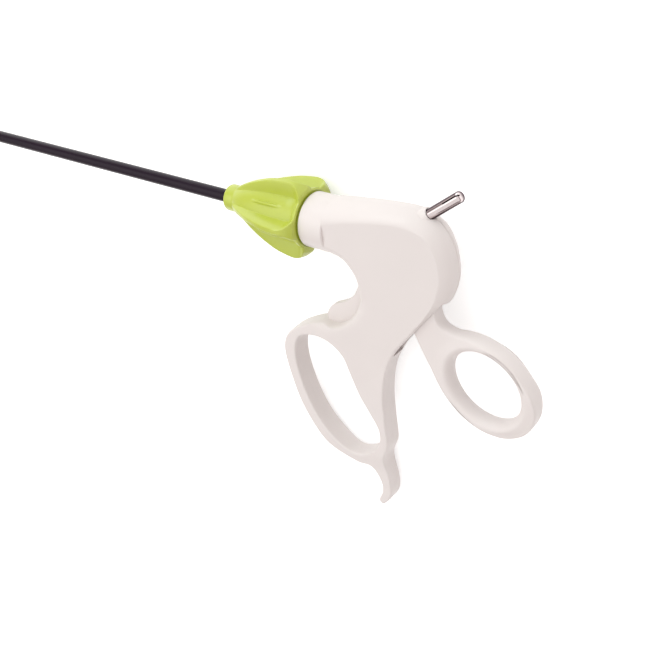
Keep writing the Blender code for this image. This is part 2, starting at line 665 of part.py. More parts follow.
def shaft_group(mats, frame):
    steel, black, plastic, rubber = mats
    front, back = HUB_FRONT_X, HUB_BACK_X
    tube_bore = TUBE_RADIUS + PART_GAP
    sleeve_seat = SLEEVE_RADIUS + PART_GAP
    seat_end = front + 6.0
    hub = turned(((front, HUB_RADIUS - 0.5), (front + 0.5, HUB_RADIUS), (HUB_SHOULDER_X, HUB_RADIUS),
                  (HUB_SHOULDER_X, HUB_NECK_RADIUS), (CLIP_X[0] - 0.1, HUB_NECK_RADIUS),
                  (CLIP_X[0] - 0.1, CLIP_GROOVE_RADIUS), (CLIP_X[1] + 0.1, CLIP_GROOVE_RADIUS),
                  (CLIP_X[1] + 0.1, HUB_NECK_RADIUS), (back, HUB_NECK_RADIUS), (back, tube_bore),
                  (seat_end, tube_bore), (seat_end, sleeve_seat), (front, sleeve_seat)), 32, hollow=True)
    place("shaft_hub", hub, plastic, frame)
    ring_x = FRICTION_RING_X
    ring_in, ring_out = HUB_RADIUS + PART_GAP, FRICTION_RING_RADIUS
    bulge = 0.35
    ring = turned(((ring_x[0], ring_in), (ring_x[1], ring_in), (ring_x[1], ring_out - bulge),
                   (sum(ring_x) / 2, ring_out), (ring_x[0], ring_out - bulge)), 32, hollow=True)
    place("knob_friction_ring", ring, rubber, frame)
    clip = turned(((CLIP_X[0], CLIP_GROOVE_RADIUS + PART_GAP), (CLIP_X[1], CLIP_GROOVE_RADIUS + PART_GAP),
                   (CLIP_X[1], CLIP_RADIUS), (CLIP_X[0], CLIP_RADIUS)), 32, hollow=True)
    clip_obj = place("hub_retaining_clip", clip, steel, frame)
    gap_half = CLIP_GROOVE_RADIUS * 0.75
    mouth = box((CLIP_X[0] - 1, 0, -gap_half), (CLIP_X[1] + 1, CLIP_RADIUS + 2, gap_half))
    carve(clip_obj, mouth, frame)
    tube_front = CLEVIS_SPIGOT_X[0] + PART_GAP
    tube = turned(((tube_front, TUBE_BORE), (tube_front, TUBE_RADIUS), (TUBE_BACK_X, TUBE_RADIUS),
                   (TUBE_BACK_X, TUBE_BORE)), 24, hollow=True)
    place("shaft_tube", tube, steel, frame)
    sleeve_back = seat_end - PART_GAP
    sleeve_bore = TUBE_RADIUS + TUBE_GAP
    sleeve = turned(((SLEEVE_FRONT_X, sleeve_bore), (SLEEVE_FRONT_X, SLEEVE_RADIUS - 0.15),
                     (SLEEVE_FRONT_X + 0.3, SLEEVE_RADIUS), (sleeve_back, SLEEVE_RADIUS),
                     (sleeve_back, sleeve_bore)), 24, hollow=True)
    place("shaft_insulation", sleeve, black, frame)
    seal_in, seal_out = ROD_RADIUS + TUBE_GAP, TUBE_BORE - TUBE_GAP
    seal = turned(((SEAL_X[0], seal_in), (SEAL_X[0], seal_out), (SEAL_X[1], seal_out), (SEAL_X[1], seal_in)),
                  24, hollow=True)
    place("shaft_seal", seal, rubber, frame)


def drive_group(steel, frame):
    pin_x = JAW_PIVOT_X + DRIVE_PIN_NEAR
    rod_front = pin_x + YOKE_LENGTH - ROD_IN_YOKE
    rod_back = BALL_REST_X + BALL_FLAT - PART_GAP
    rod = turned(((rod_front, 0.55), (rod_front + 0.2, ROD_RADIUS), (rod_back, ROD_RADIUS)), 16)
    place("drive_rod", rod, steel, frame)
    rows = [(-BALL_FLAT, ROD_RADIUS + TUBE_GAP)]
    for k in range(9):
        x = -BALL_FLAT + 2 * BALL_FLAT * k / 8
        rows.append((x, math.sqrt(BALL_RADIUS**2 - x * x)))
    rows.append((BALL_FLAT, ROD_RADIUS + TUBE_GAP))
    ball = turned(rows, 24, hollow=True)
    ball.transform(Matrix.Translation((BALL_REST_X, 0, 0)))
    place("rod_ball", ball, steel, frame, origin=(BALL_REST_X, 0, 0))
    yoke = box((pin_x - 1.1, -YOKE_HALF, -YOKE_CHEEK[1]), (pin_x + YOKE_LENGTH, YOKE_HALF, YOKE_CHEEK[1]))
    yoke_obj = place("drive_yoke", yoke, steel, frame, origin=(pin_x, 0, 0))
    mouth = box((pin_x - 3, -3, -YOKE_CHEEK[0]), (pin_x + YOKE_FORK, 3, YOKE_CHEEK[0]))
    carve(yoke_obj, mouth, frame)
    carve(yoke_obj, rod_along((pin_x + YOKE_FORK - 1, 0, 0), (pin_x + YOKE_LENGTH + 1, 0, 0),
                              ROD_RADIUS + TUBE_GAP, 16), frame)
    pin_bore = DRIVE_PIN_RADIUS + TUBE_GAP / 2
    carve(yoke_obj, rod_along((pin_x, 0, -3), (pin_x, 0, 3), pin_bore, 16), frame)
    pin = rod_along((pin_x, 0, -YOKE_CHEEK[1]), (pin_x, 0, YOKE_CHEEK[1]), DRIVE_PIN_RADIUS, 16)
    place("drive_pin", pin, steel, frame, origin=(pin_x, 0, 0))


def cam_slot(side):
    """The slot one blade's tang needs so that the drive pin, sliding straight back, turns it evenly."""
    radius = DRIVE_PIN_RADIUS + SLOT_PLAY
    path = []
    for k in range(9):
        share = k / 8
        reach = DRIVE_PIN_NEAR + ROD_TRAVEL * share
        angle = side * JAW_OPENING * (1 - share)
        path.append(Vector((reach * math.cos(angle), reach * math.sin(angle))))
    left, right = [], []
    for before, here, after in zip(path[:1] + path[:-1], path, path[1:] + path[-1:]):
        along = (after - before).normalized()
        across = Vector((-along.y, along.x)) * radius
        left.append(here + across)
        right.append(here - across)
    loop = list(left)
    for end, start_angle in ((path[-1] - path[-2], math.pi / 2), (path[0] - path[1], math.pi / 2)):
        centre = path[-1] if end is not None and end == path[-1] - path[-2] else path[0]
        heading = math.atan2(end.y, end.x)
        for k in range(1, 6):
            angle = heading + start_angle - math.pi * k / 6
            loop.append(centre + radius * Vector((math.cos(angle), math.sin(angle))))
        if centre is path[-1]:
            loop += list(reversed(right))
    return loop


def blade(name, side, steel, frame):
    """One jaw: side +1 opens up and lies on the left, and both curve to the left towards the tip."""
    rows = 10
    upper, lower = [], []
    for k in range(rows + 1):
        t = k / rows
        x = -BLADE_LENGTH * t
        back_edge = BLADE_ROOT_HALF + (BLADE_TIP_HALF - BLADE_ROOT_HALF) * t**1.3
        if k == rows:
            back_edge *= 0.55
        upper.append((x, side * back_edge))
        lower.append((x, -side * (0.5 * (1 - t) + 0.12)))
    tang_end = DRIVE_PIN_NEAR + ROD_TRAVEL + DRIVE_PIN_RADIUS + SLOT_PLAY + 0.7
    drop = side * 0.35
    tang = [(1.6, -side * 1.5), (tang_end - 0.6, -side * TANG_HALF + drop), (tang_end, -side * 0.7 + drop),
            (tang_end, side * 0.7 + drop), (tang_end - 0.6, side * TANG_HALF + drop), (1.6, side * 1.6)]
    loop = upper[::-1] + tang[::-1] + lower
    near = BLADE_SIDE_GAP / 2 * side
    far = (BLADE_SIDE_GAP / 2 + BLADE_THICK) * side
    bm = prism(loop, min(near, far), max(near, far))
    bmesh.ops.triangulate(bm, faces=[f for f in bm.faces if len(f.verts) > 4])
    for v in bm.verts:
        ahead = max(0.0, -v.co.x - 2.5) / (BLADE_LENGTH - 2.5)
        v.co.z += BLADE_CURVE * ahead * ahead
    obj = place(name, bm, steel, frame)
    obj.location = (JAW_PIVOT_X * MM, 0, 0)
    obj.rotation_euler = (0, 0, -side * JAW_OPENING)
    turn = Matrix.Translation((JAW_PIVOT_X, 0, 0)) @ Matrix.Rotation(-side * JAW_OPENING, 4, "Z")
    slot = prism(cam_slot(side), -3, 3)
    slot.transform(turn)
    carve(obj, slot, frame)
    carve(obj, rod_along((JAW_PIVOT_X, 0, -3), (JAW_PIVOT_X, 0, 3), JAW_PIN_RADIUS + TUBE_GAP, 20), frame)
    return obj


def jaw_group(steel, frame):
    spigot = CLEVIS_SPIGOT_X
    shank = TUBE_RADIUS - TUBE_GAP / 2
    bore = ROD_RADIUS + 2 * TUBE_GAP
    clevis = turned(((CLEVIS_FRONT_X, CLEVIS_RADIUS - 0.5), (CLEVIS_FRONT_X + 0.7, CLEVIS_RADIUS),
                     (SLEEVE_FRONT_X - PART_GAP, CLEVIS_RADIUS), (SLEEVE_FRONT_X - PART_GAP, shank),
                     (spigot[0], shank), (spigot[0], TUBE_BORE - TUBE_GAP), (spigot[1], TUBE_BORE - TUBE_GAP)), 24)
    obj = place("jaw_clevis", clevis, steel, frame, origin=(JAW_PIVOT_X, 0, 0))
    reach = CLEVIS_RADIUS + 1
    slot_end = SLEEVE_FRONT_X - CLEVIS_RING
    slot = box((CLEVIS_FRONT_X - 1, -reach, -CLEVIS_SLOT_HALF), (slot_end, reach, CLEVIS_SLOT_HALF))
    carve(obj, slot, frame)
    chamber_radius = math.hypot(YOKE_HALF, YOKE_CHEEK[1]) + YOKE_PLAY
    chamber_start = slot_end - CLEVIS_CHAMBER_OVERLAP
    carve(obj, rod_along((chamber_start, 0, 0), (CLEVIS_SLOT_END_X, 0, 0), chamber_radius, 24), frame)
    carve(obj, rod_along((CLEVIS_SLOT_END_X - 1, 0, 0), (spigot[1] + 1, 0, 0), bore, 16), frame)
    pin_reach = CLEVIS_RADIUS - 0.05
    bore_radius = JAW_PIN_RADIUS + TUBE_GAP / 2
    carve(obj, rod_along((JAW_PIVOT_X, 0, -reach), (JAW_PIVOT_X, 0, reach), bore_radius, 20), frame)
    pin = rod_along((JAW_PIVOT_X, 0, -pin_reach), (JAW_PIVOT_X, 0, pin_reach), JAW_PIN_RADIUS, 20, 0.15)
    place("jaw_pivot_pin", pin, steel, frame, origin=(JAW_PIVOT_X, 0, 0))
    blade("blade_upper", 1, steel, frame)
    blade("blade_lower", -1, steel, frame)


def connector(steel, frame):
    r = PIN_RADIUS
    rows = ((-PIN_DEPTH, PIN_FLANGE_RADIUS), (-PIN_DEPTH + PIN_FLANGE_THICK, PIN_FLANGE_RADIUS),
            (-PIN_DEPTH + PIN_FLANGE_THICK, r), (PIN_REACH - 0.9, r), (PIN_REACH - 0.4, r - 0.25),
            (PIN_REACH, r - 0.9))
    pin = turned(rows, 24)
    pin.transform(Matrix.Translation((*PIN_FOOT, 0)) @ Matrix.Rotation(PIN_LEAN, 4, "Z"))
    place("connector_pin", pin, steel, frame, origin=(*PIN_FOOT, 0))
    middle = spline(LEAF_PATH, 3)
    outer = inset(middle, [LEAF_THICK] * len(middle))
    upper = [p for p in outer[1:-1]]
    loop = [p for p in middle[1:-1]] + upper[::-1]
    place("contact_leaf", prism(loop, -LEAF_HALF, LEAF_HALF), steel, frame)


def world_points(obj, graph):
    evaluated = obj.evaluated_get(graph)
    mesh = evaluated.to_mesh()
    bm = bmesh.new()
    bm.from_mesh(mesh)
    evaluated.to_mesh_clear()
    bm.transform(obj.matrix_world)
    weight = bm.calc_volume() * obj.data.materials[0]["density"]
    centre = Vector((0, 0, 0))
    volume = 0.0
    bmesh.ops.triangulate(bm, faces=bm.faces)
    for face in bm.faces:
        a, b, c = (v.co for v in face.verts)
        share = a.dot(b.cross(c)) / 6
        volume += share
        centre += share * (a + b + c) / 4
    points = [v.co.copy() for v in bm.verts]
    bm.free()
    return points, weight, centre / volume


def lay_on_table(frame):
    """Turns the frame so the hull face under the centre of mass lies on the table, and centres it."""
    bpy.context.view_layer.update()
    graph = bpy.context.evaluated_depsgraph_get()
    points, total, centre = [], 0.0, Vector((0, 0, 0))
    for obj in frame.children:
        if not obj.hide_render:
            found, weight, middle = world_points(obj, graph)
            points += found
            total += weight
            centre += weight * middle
    centre /= total
    hull = bmesh.new()
    for point in points:
        hull.verts.new(point)
    made = bmesh.ops.convex_hull(hull, input=hull.verts)
    faces = [f for f in made["geom"] if isinstance(f, bmesh.types.BMFace) and f.normal.z < -0.7]
    seat = None
    for face in faces:
        a, b, c = (v.co for v in face.verts[:3])
        drop = (centre - a).dot(face.normal)
        foot = centre - drop * face.normal
        sides = [(q - p).cross(foot - p).dot(face.normal) for p, q in ((a, b), (b, c), (c, a))]
        if min(sides) >= 0 or max(sides) <= 0:
            seat = face.normal.copy()
            break
    hull.free()
    up = -seat
    along = (Vector((1, 0, 0)) - up * up.x).normalized()
    turn = Matrix((along, up.cross(along), up)).to_4x4()
    laid = [turn @ p for p in points]
    low = [min(p[k] for p in laid) for k in range(3)]
    high = [max(p[k] for p in laid) for k in range(3)]
    shift = Vector((-(low[0] + high[0]) / 2, -(low[1] + high[1]) / 2, -low[2]))
    frame.matrix_world = Matrix.Translation(shift) @ turn


def main():
    clear_scene()
    frame = bpy.data.objects.new("instrument_frame", None)
    bpy.context.scene.collection.objects.link(frame)
    white = material("housing_white", (0.86, 0.84, 0.82), 0.42)
    lever_white = material("lever_white", (0.86, 0.84, 0.82), 0.42)
    green = material("knob_green", (0.53, 0.66, 0.08), 0.35)
    black = material("sleeve_black", (0.012, 0.008, 0.014), 0.35, density=1400.0)
    steel = material("steel", (0.62, 0.61, 0.60), 0.28, 1.0, STEEL)
    nickel = material("pin_nickel", (0.72, 0.69, 0.68), 0.15, 1.0, 8500.0)
    nylon = material("hub_nylon", (0.75, 0.75, 0.73), 0.5, density=1140.0)
    rubber = material("seal_rubber", (0.08, 0.08, 0.08), 0.8, density=RUBBER)
    housing_half("housing_left", 1, white, frame)
    housing_half("housing_right", -1, white, frame)
    thumb_lever(lever_white, frame)
    reach = housing_half_at(*LEVER_PIVOT) - WALL / 2 - 0.4 - PART_GAP
    pivot = rod_along((*LEVER_PIVOT, -reach), (*LEVER_PIVOT, reach), PIVOT_PIN_RADIUS, 20, 0.2)
    place("lever_pivot_pin", pivot, steel, frame, origin=(*LEVER_PIVOT, 0))
    rotation_knob(green, frame)
    shaft_group((steel, black, nylon, rubber), frame)
    drive_group(steel, frame)
    jaw_group(steel, frame)
    connector(nickel, frame)
    lay_on_table(frame)


main()
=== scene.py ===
"""Dresses the monopolar laparoscopic scissors: moulded shells, knob, cord pin, shaft, jaws and the stage."""

import json
import math

import bmesh
import bpy
from bpy.props import FloatProperty, FloatVectorProperty, IntProperty, PointerProperty
from mathutils import Matrix, Vector


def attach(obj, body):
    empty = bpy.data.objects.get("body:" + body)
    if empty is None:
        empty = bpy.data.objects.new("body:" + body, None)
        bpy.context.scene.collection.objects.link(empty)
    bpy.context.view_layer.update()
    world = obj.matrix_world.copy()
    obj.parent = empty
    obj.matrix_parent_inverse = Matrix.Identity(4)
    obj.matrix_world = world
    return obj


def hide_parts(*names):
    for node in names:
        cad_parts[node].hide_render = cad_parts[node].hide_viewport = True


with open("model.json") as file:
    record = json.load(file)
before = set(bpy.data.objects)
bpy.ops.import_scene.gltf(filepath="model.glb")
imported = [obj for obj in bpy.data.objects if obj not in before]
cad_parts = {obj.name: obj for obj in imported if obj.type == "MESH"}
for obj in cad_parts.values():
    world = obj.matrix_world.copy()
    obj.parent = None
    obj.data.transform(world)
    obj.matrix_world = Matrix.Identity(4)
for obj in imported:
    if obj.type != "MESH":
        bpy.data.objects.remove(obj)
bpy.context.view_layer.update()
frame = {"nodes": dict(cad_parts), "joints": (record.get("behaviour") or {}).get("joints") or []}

bl_info = {
    "name": "Monopolar scissors dresser",
    "version": (1, 0, 0),
    "blender": (4, 5, 0),
    "location": "3D View > Sidebar > Scissors",
    "description": "Builds the fine pieces and finishes of a pair of monopolar laparoscopic scissors",
    "category": "Object",
}

MM = 0.001
JOINTS = {joint["name"]: joint for joint in frame["joints"]}


def instrument_place():
    """Turns millimetres along the shaft, up to the cord pin and out of the left side into the row frame."""
    along = Vector(JOINTS["shaft_turn"]["axis"]).normalized()
    out = -Vector(JOINTS["lever_hinge"]["axis"]).normalized()
    turn = Matrix((along, out.cross(along), out)).transposed().to_4x4()
    return Matrix.Translation(JOINTS["shaft_turn"]["pos_m"]) @ turn @ Matrix.Scale(MM, 4)


def lever_pivot():
    """The lever's hinge in the instrument's own millimetres."""
    return PLACE.inverted() @ Vector(JOINTS["lever_hinge"]["pos_m"])


PLACE = instrument_place()

# Each row of an outline is x, y and how wide its edge rounds over, in millimetres. x runs back along the
# shaft from the nose's rim, y up towards the cord pin and z out of the left side.
HOUSING_FRONT = (
    (-6.0, -4.0, 1.0), (-3.0, -8.6, 3.0), (5.0, -9.4, 6.0), (13.7, -10.1, 5.0), (17.6, -12.8, 4.4),
    (20.2, -18.0, 4.2), (20.6, -25.0, 3.8), (18.8, -31.0, 3.0), (14.4, -36.8, 2.0), (9.0, -39.9, 1.5),
    (1.6, -40.6, 1.4), (-11.8, -48.2, 1.3), (-16.6, -57.2, 1.3), (-14.2, -71.1, 1.3), (-8.7, -85.4, 1.3),
    (1.7, -98.6, 1.3), (15.0, -102.9, 1.3), (22.5, -102.6, 1.0), (26.8, -108.0, 0.9), (27.2, -113.5, 0.8),
    (25.6, -118.0, 0.7), (27.8, -119.6, 0.7), (31.2, -114.5, 0.8), (31.2, -106.5, 0.9), (28.9, -96.8, 0.9),
    (31.1, -89.0, 1.0), (30.4, -78.0, 1.0), (29.9, -66.0, 1.0), (31.6, -53.5, 1.0), (36.3, -42.7, 1.0),
    (43.3, -33.6, 1.0),
)
HOUSING_MOUTH = ((43.3, -33.6, 1.0), (48.3, -27.2, 1.2), (52.8, -22.2, 2.4))
HOUSING_BACK = (
    (52.8, -22.2, 2.4), (57.2, -16.3, 4.0), (59.6, -7.1, 4.6), (57.8, 3.4, 4.6), (52.6, 10.7, 4.4),
    (44.0, 13.2, 4.0), (34.0, 13.0, 4.0), (22.0, 11.9, 5.0), (12.0, 10.8, 6.4), (5.0, 9.8, 6.2),
    (-3.0, 8.6, 3.0), (-6.0, 4.0, 1.0),
)
FINGER_HOLE = (
    (-10.8, -60.5, 1.2), (-8.6, -51.3, 1.2), (-1.0, -48.0, 1.2), (6.5, -47.9, 1.0), (12.4, -51.6, 0.7),
    (15.2, -58.6, 0.6), (18.4, -67.6, 0.6), (23.2, -75.2, 0.6), (27.2, -82.5, 0.8), (26.4, -90.0, 1.0),
    (20.5, -96.2, 1.2), (13.0, -98.1, 1.2), (4.5, -93.1, 1.2), (-2.6, -85.1, 1.2), (-8.2, -72.9, 1.2),
)
# Half thicknesses: the panel thins by the taper along x and y, and the grip thins again towards the hook.
PANEL_HALF = 9.75
PANEL_TAPER = (0.064, 0.062)
GRIP_HALF = 4.5
HOOK_HALF = 3.8
HOOK_Y = (-94.0, -103.0)
# The line along which the panel rounds down to the grip.
PANEL_EDGE = ((24.6, -20.0), (23.4, -25.2), (20.6, -30.6), (16.4, -35.2), (11.2, -38.6), (4.0, -41.4),
              (-6.0, -44.0))
PANEL_EDGE_ROUND = 3.2
PANEL_FADE_X = (-4.0, 15.0)
PANEL_FADE_Y = 8.0
# Powers of the rounded edges' sections, and where they take over.
BACK_POWER = 1.9
BACK_POWER_X = (42.0, 52.0)
GRIP_POWER = 0.5
GRIP_POWER_Y = (-30.0, -44.0)
SEAM_GROOVE = (0.006, 0.26)
SEAM_GROOVE_X = (47.0, 53.0)
SEAM_HALF = 0.01
SUPPORT = 0.35
HOUSING_GRID = ((-16.0, -60.0), (30.0, -18.0))
WALL = 1.9
NOSE_RADIUS = 10.15
NOSE_LENGTH = 10.3
NOSE_WALL = 3.0
NOSE_RIM = 0.6
NOSE_STEP = 0.35
# The thin web that fills the recess in front of the grip.
WEB = ((4.4, -40.5), (4.1, -37.6), (5.3, -34.9), (7.5, -32.7), (10.8, -31.0), (13.9, -29.1), (16.4, -26.7),
       (18.1, -23.6), (19.4, -20.2), (21.5, -17.0))
WEB_INSIDE = ((25.0, -17.0), (25.0, -30.0), (17.0, -42.0), (4.4, -43.5))
WEB_HALF = 1.5
WEB_ROUND = 0.5
# The slot that the lever swings in.
SLOT = ((46.0, -18.3), (60.0, -18.3), (57.0, -36.0), (44.5, -40.0), (33.6, -46.5), (33.6, -30.0))
SLOT_HALF = 3.3
CAVITY_FLOOR_Y = -33.0
CAVITY_FRONT_X = 18.6
CAVITY_LEAST_HALF = 2.0
CAVITY_EDGE = 0.6
CAVITY_STEPS = 4
CAVITY_GRID = ((18.0, -45.0), (42.0, -18.0))
CAVITY_GRID_STEP = 2.5
HUB_BORE = 6.0
NECK_BORE = 4.7
HUB_CAVITY = 6.75
HUB_CAVITY_END_X = 23.0
NOSE_SIDES = 128
HOLE_SIDES = 64
BAR_SIDES = 48
BEARING_X = (13.8, 16.0)
LEVER_PIN_BORE = 1.8
LEVER_PIN_BOSS = 3.2
LEVER_PIN_END_GAP = 0.4
# Cutters start a little under the middle plane and reach well beyond the handle.
UNDER = -1.0
BEYOND = 30.0
BEHIND_GRIP = 70.0
BELOW_HOOK = -130.0
NOSE_OVERLAP = 0.3

LEVER_LEFT = (
    (38.9, -5.5, 0.4), (38.6, -12.0, 0.4), (38.8, -19.0, 0.4), (39.8, -26.0, 0.5), (42.7, -33.0, 0.6),
    (47.3, -42.4, 0.9), (52.0, -50.4, 1.2), (57.7, -57.9, 1.4), (64.4, -63.1, 1.4), (72.8, -66.0, 1.3),
    (80.5, -65.2, 1.2), (86.8, -61.6, 1.1), (90.3, -55.5, 1.1), (90.6, -48.8, 1.2), (88.4, -42.8, 1.5),
    (83.8, -36.5, 1.8), (77.8, -31.9, 2.0), (70.7, -29.2, 2.0), (64.2, -28.4, 2.0), (58.8, -28.7, 1.8),
    (54.0, -27.3, 1.2), (51.6, -22.5, 0.6), (51.0, -15.0, 0.4), (49.6, -8.0, 0.4), (46.9, -3.0, 0.4),
)
LEVER_HALF = 3.0
LEVER_LEAN = math.radians(12.0)
LEVER_GRID = ((42.0, -68.0), (92.0, -24.0))
RING_HALF = 4.0
RING_CENTRE = (71.1, -47.3)
RING_HOLE = (14.5, 12.4)
RING_TURN = math.radians(-43.0)
RING_BLEND = (16.0, 21.5)
RING_POWERS = (0.9, 0.45)
RING_TIGHT_SIDE = math.radians(-28.0)
RING_TIGHT_COSINE = (0.6, 0.85)
RING_HOLE_EDGE = 2.7
RING_HOLE_SIDES = 120
FORK_HALF = 4.7
FORK_TOP = 3.3
FORK_EDGE = 0.4
BALL_RADIUS = 2.2
ROD_RADIUS = 0.75
FIT = 0.15

KNOB_BACK_X = -0.5
KNOB_FRONT_X = -39.5
KNOB_DENSE_X = -7.5
KNOB_STATIONS = (40, 32)
KNOB_SIDES = 540
KNOB_BACK_ROUND = 0.5
KNOB_HUB_X = -8.3
# The collar's front edge as distance and change of radius, then its last rows ahead of the wings.
COLLAR_EDGE = ((0.0, -0.9), (0.12, -0.5), (0.4, -0.17), (0.9, 0.0))
COLLAR_END = (0.9, 0.4)
WINGS = 5
WING_TURN = math.radians(18.0)
COLLAR_RADIUS = 5.1
WING_LINE = ((-34.5, 5.6), (-32.8, 6.9), (-28.5, 9.4), (-24.0, 11.6), (-20.0, 13.2), (-15.0, 14.8),
             (-10.0, 15.7), (-6.5, 16.0), (-4.0, 15.5), (-2.2, 14.4), (-0.5, 12.6))
FLUTE_LINE = ((-34.5, 5.3), (-32.8, 6.2), (-28.5, 7.6), (-22.0, 8.9), (-14.0, 9.8), (-7.0, 10.2),
              (-3.0, 10.3), (-1.7, 11.2), (-0.5, 11.2))
# A wing's half width at its crest and foot and its flare at the back, as shares of the pitch.
WING_CREST = 0.042
WING_FOOT = 0.16
WING_SOFT = 0.25
WING_FLARE = 0.14
WING_FLARE_X = (-5.5, -1.0)
WING_FLARE_POWER = 2.5
# Inner radius, outer radius and depth.
BACK_RECESS = (9.0, 10.4, 0.5)
RIB_X = (-24.0, -7.5)
RIB_RUN = 6.0
RIB_HEIGHT = 0.9
RIB_HALF = 0.8
RIB_CREST = 0.15

# The flange and the boss are radius and length, the slot is width, length and depth. The tip is how far
# each row lies from its end and inside its radius.
PIN_RADIUS = 2.0
PIN_FOOT = (48.2, 12.6)
PIN_LEAN = math.radians(38.0)
PIN_REACH = 15.2
PIN_DEPTH = 5.6
PIN_FLANGE = (3.0, 1.2)
PIN_FLANGE_EDGE = 0.2
PIN_TIP = ((1.0, 0.0), (0.8, 0.03), (0.35, 0.3), (0.08, 0.7), (0.0, 1.0))
PIN_BOSS = (2.6, 0.6)
PIN_SLOT = (0.5, 7.0, 1.1)
PIN_SLOT_TURN = math.radians(60.0)

SLEEVE_RADIUS = 2.5
SLEEVE_BORE = 2.1
SLEEVE_X = (-352.0, -2.3)
SLEEVE_FIT = 0.2
SLEEVE_LIP = ((0.0, 0.18), (0.08, 0.06), (0.3, 0.0))
SLEEVE_LENGTHS = 12

# The colour sockets of a mix node, by number.
MIX_A = 6
MIX_B = 7
MIX_RESULT = 2


class ScissorsSizes(bpy.types.PropertyGroup):
    """Sizes a user would change."""

    outline_steps: IntProperty(name="Outline steps", description="Points between two outline rows",
                               default=7, min=1, max=16)
    edge_steps: IntProperty(name="Edge steps", description="Rings in a rounded edge",
                            default=9, min=2, max=16)
    grid_step: FloatProperty(name="Grid step", description="Spacing of the lines that let a face curve",
                             default=1.4 * MM, min=0.5 * MM, max=5 * MM, unit="LENGTH")
    round_sides: IntProperty(name="Round sides", description="Sides of a turned piece",
                             default=96, min=16, max=256)


class ScissorsColours(bpy.types.PropertyGroup):
    """Colours a user would change, in linear light."""

    housing: FloatVectorProperty(name="Housing", description="Warm white of the handle", subtype="COLOR",
                                 size=3, default=(0.8, 0.74, 0.72), min=0.0, max=1.0)
    knob: FloatVectorProperty(name="Knob", description="Lime green of the knob", subtype="COLOR",
                              size=3, default=(0.51, 0.585, 0.06), min=0.0, max=1.0)
    sleeve: FloatVectorProperty(name="Sleeve", description="Purple black of the shaft", subtype="COLOR",
                                size=3, default=(0.014, 0.005, 0.015), min=0.0, max=1.0)
    steel: FloatVectorProperty(name="Steel", description="Ground steel", subtype="COLOR",
                               size=3, default=(0.62, 0.61, 0.6), min=0.0, max=1.0)
    nickel: FloatVectorProperty(name="Nickel", description="Polished cord pin", subtype="COLOR",
                                size=3, default=(0.74, 0.66, 0.66), min=0.0, max=1.0)


def sizes():
    return bpy.context.scene.scissors_sizes


def colours():
    return bpy.context.scene.scissors_colours


def spline(points, steps, closed=False):
    """Points along a smooth curve through the given rows."""
    count = len(points)
    found = []
    for i in range(count if closed else count - 1):
        if closed:
            rows = [points[(i + k) % count] for k in (-1, 0, 1, 2)]
        else:
            rows = [points[max(0, min(count - 1, i + k))] for k in (-1, 0, 1, 2)]
        for step in range(steps):
            t = step / steps
            weights = (-t + 2 * t**2 - t**3, 2 - 5 * t**2 + 3 * t**3, t + 4 * t**2 - 3 * t**3, t**3 - t**2)
            found.append(tuple(0.5 * sum(w * row[k] for w, row in zip(weights, rows))
                               for k in range(len(points[0]))))
    return found if closed else found + [tuple(points[-1])]


def clamped(value):
    return max(0.0, min(1.0, value))


def rise(value):
    """A quarter of an ellipse from 0 to 1, flat beyond."""
    short = 1 - clamped(value)
    return math.sqrt(1 - short * short)


def smooth(value):
    """A soft step from 0 to 1."""
    value = clamped(value)
    return value * value * (3 - 2 * value)


def between(value, start, end):
    """How far a value has come from start to end."""
    return (value - start) / (end - start)


PANEL_EDGE_FINE = spline(PANEL_EDGE, 3)


def area_of(loop):
    return sum(a[0] * b[1] - b[0] * a[1] for a, b in zip(loop, loop[1:] + loop[:1])) / 2


def moved_in(loop, distances, outwards=False):
    """Each point of a loop moved by its own distance towards the inside."""
    turn = 1.0 if (area_of(loop) > 0) != outwards else -1.0
    moved = []
    for i, point in enumerate(loop):
        before, after = loop[i - 1], loop[(i + 1) % len(loop)]
        dx, dy = after[0] - before[0], after[1] - before[1]
        size = math.hypot(dx, dy) or 1.0
        moved.append((point[0] - turn * dy / size * distances[i], point[1] + turn * dx / size * distances[i]))
    return moved


def inside_line(x, y, line):
    """Distance from a run of points, counted as negative on its right-hand side."""
    best = (1e9, 0.0)
    for (x0, y0), (x1, y1) in zip(line, line[1:]):
        dx, dy = x1 - x0, y1 - y0
        t = clamped(((x - x0) * dx + (y - y0) * dy) / (dx * dx + dy * dy))
        away = math.hypot(x - x0 - t * dx, y - y0 - t * dy)
        best = min(best, (away, dx * (y - y0) - dy * (x - x0)))
    return math.copysign(best[0], best[1])


def housing_half_at(x, y):
    """Half thickness of the handle at a point of its side."""
    panel = PANEL_HALF - PANEL_TAPER[0] * x + PANEL_TAPER[1] * y
    grip = GRIP_HALF + (HOOK_HALF - GRIP_HALF) * smooth(between(y, *HOOK_Y))
    share = 1.0
    below = PANEL_EDGE[0][1] - y
    if below > 0:
        share = rise(inside_line(x, y, PANEL_EDGE_FINE) / PANEL_EDGE_ROUND)
        share *= smooth(between(x, *PANEL_FADE_X))
        share = 1 - (1 - share) * smooth(below / PANEL_FADE_Y)
    return grip + max(0.0, panel - grip) * share


def housing_powers_at(x, y):
    """The powers of cosine and sine in an edge's section: 1 and 1 is an ellipse, lower is a tighter corner.

    A cosine power of 2 leaves a crisp line at the panel while the seam stays round.
    """
    across = 1 + (BACK_POWER - 1) * smooth(between(x, *BACK_POWER_X))
    grip = smooth(between(y, *GRIP_POWER_Y))
    return across + (GRIP_POWER - across) * grip, 1 + (GRIP_POWER - 1) * grip


def housing_groove_at(x, y):
    """The seam's groove is open round the back of the handle and closes up elsewhere."""
    closed, opened = SEAM_GROOVE
    return closed + (opened - closed) * smooth(between(x, *SEAM_GROOVE_X))


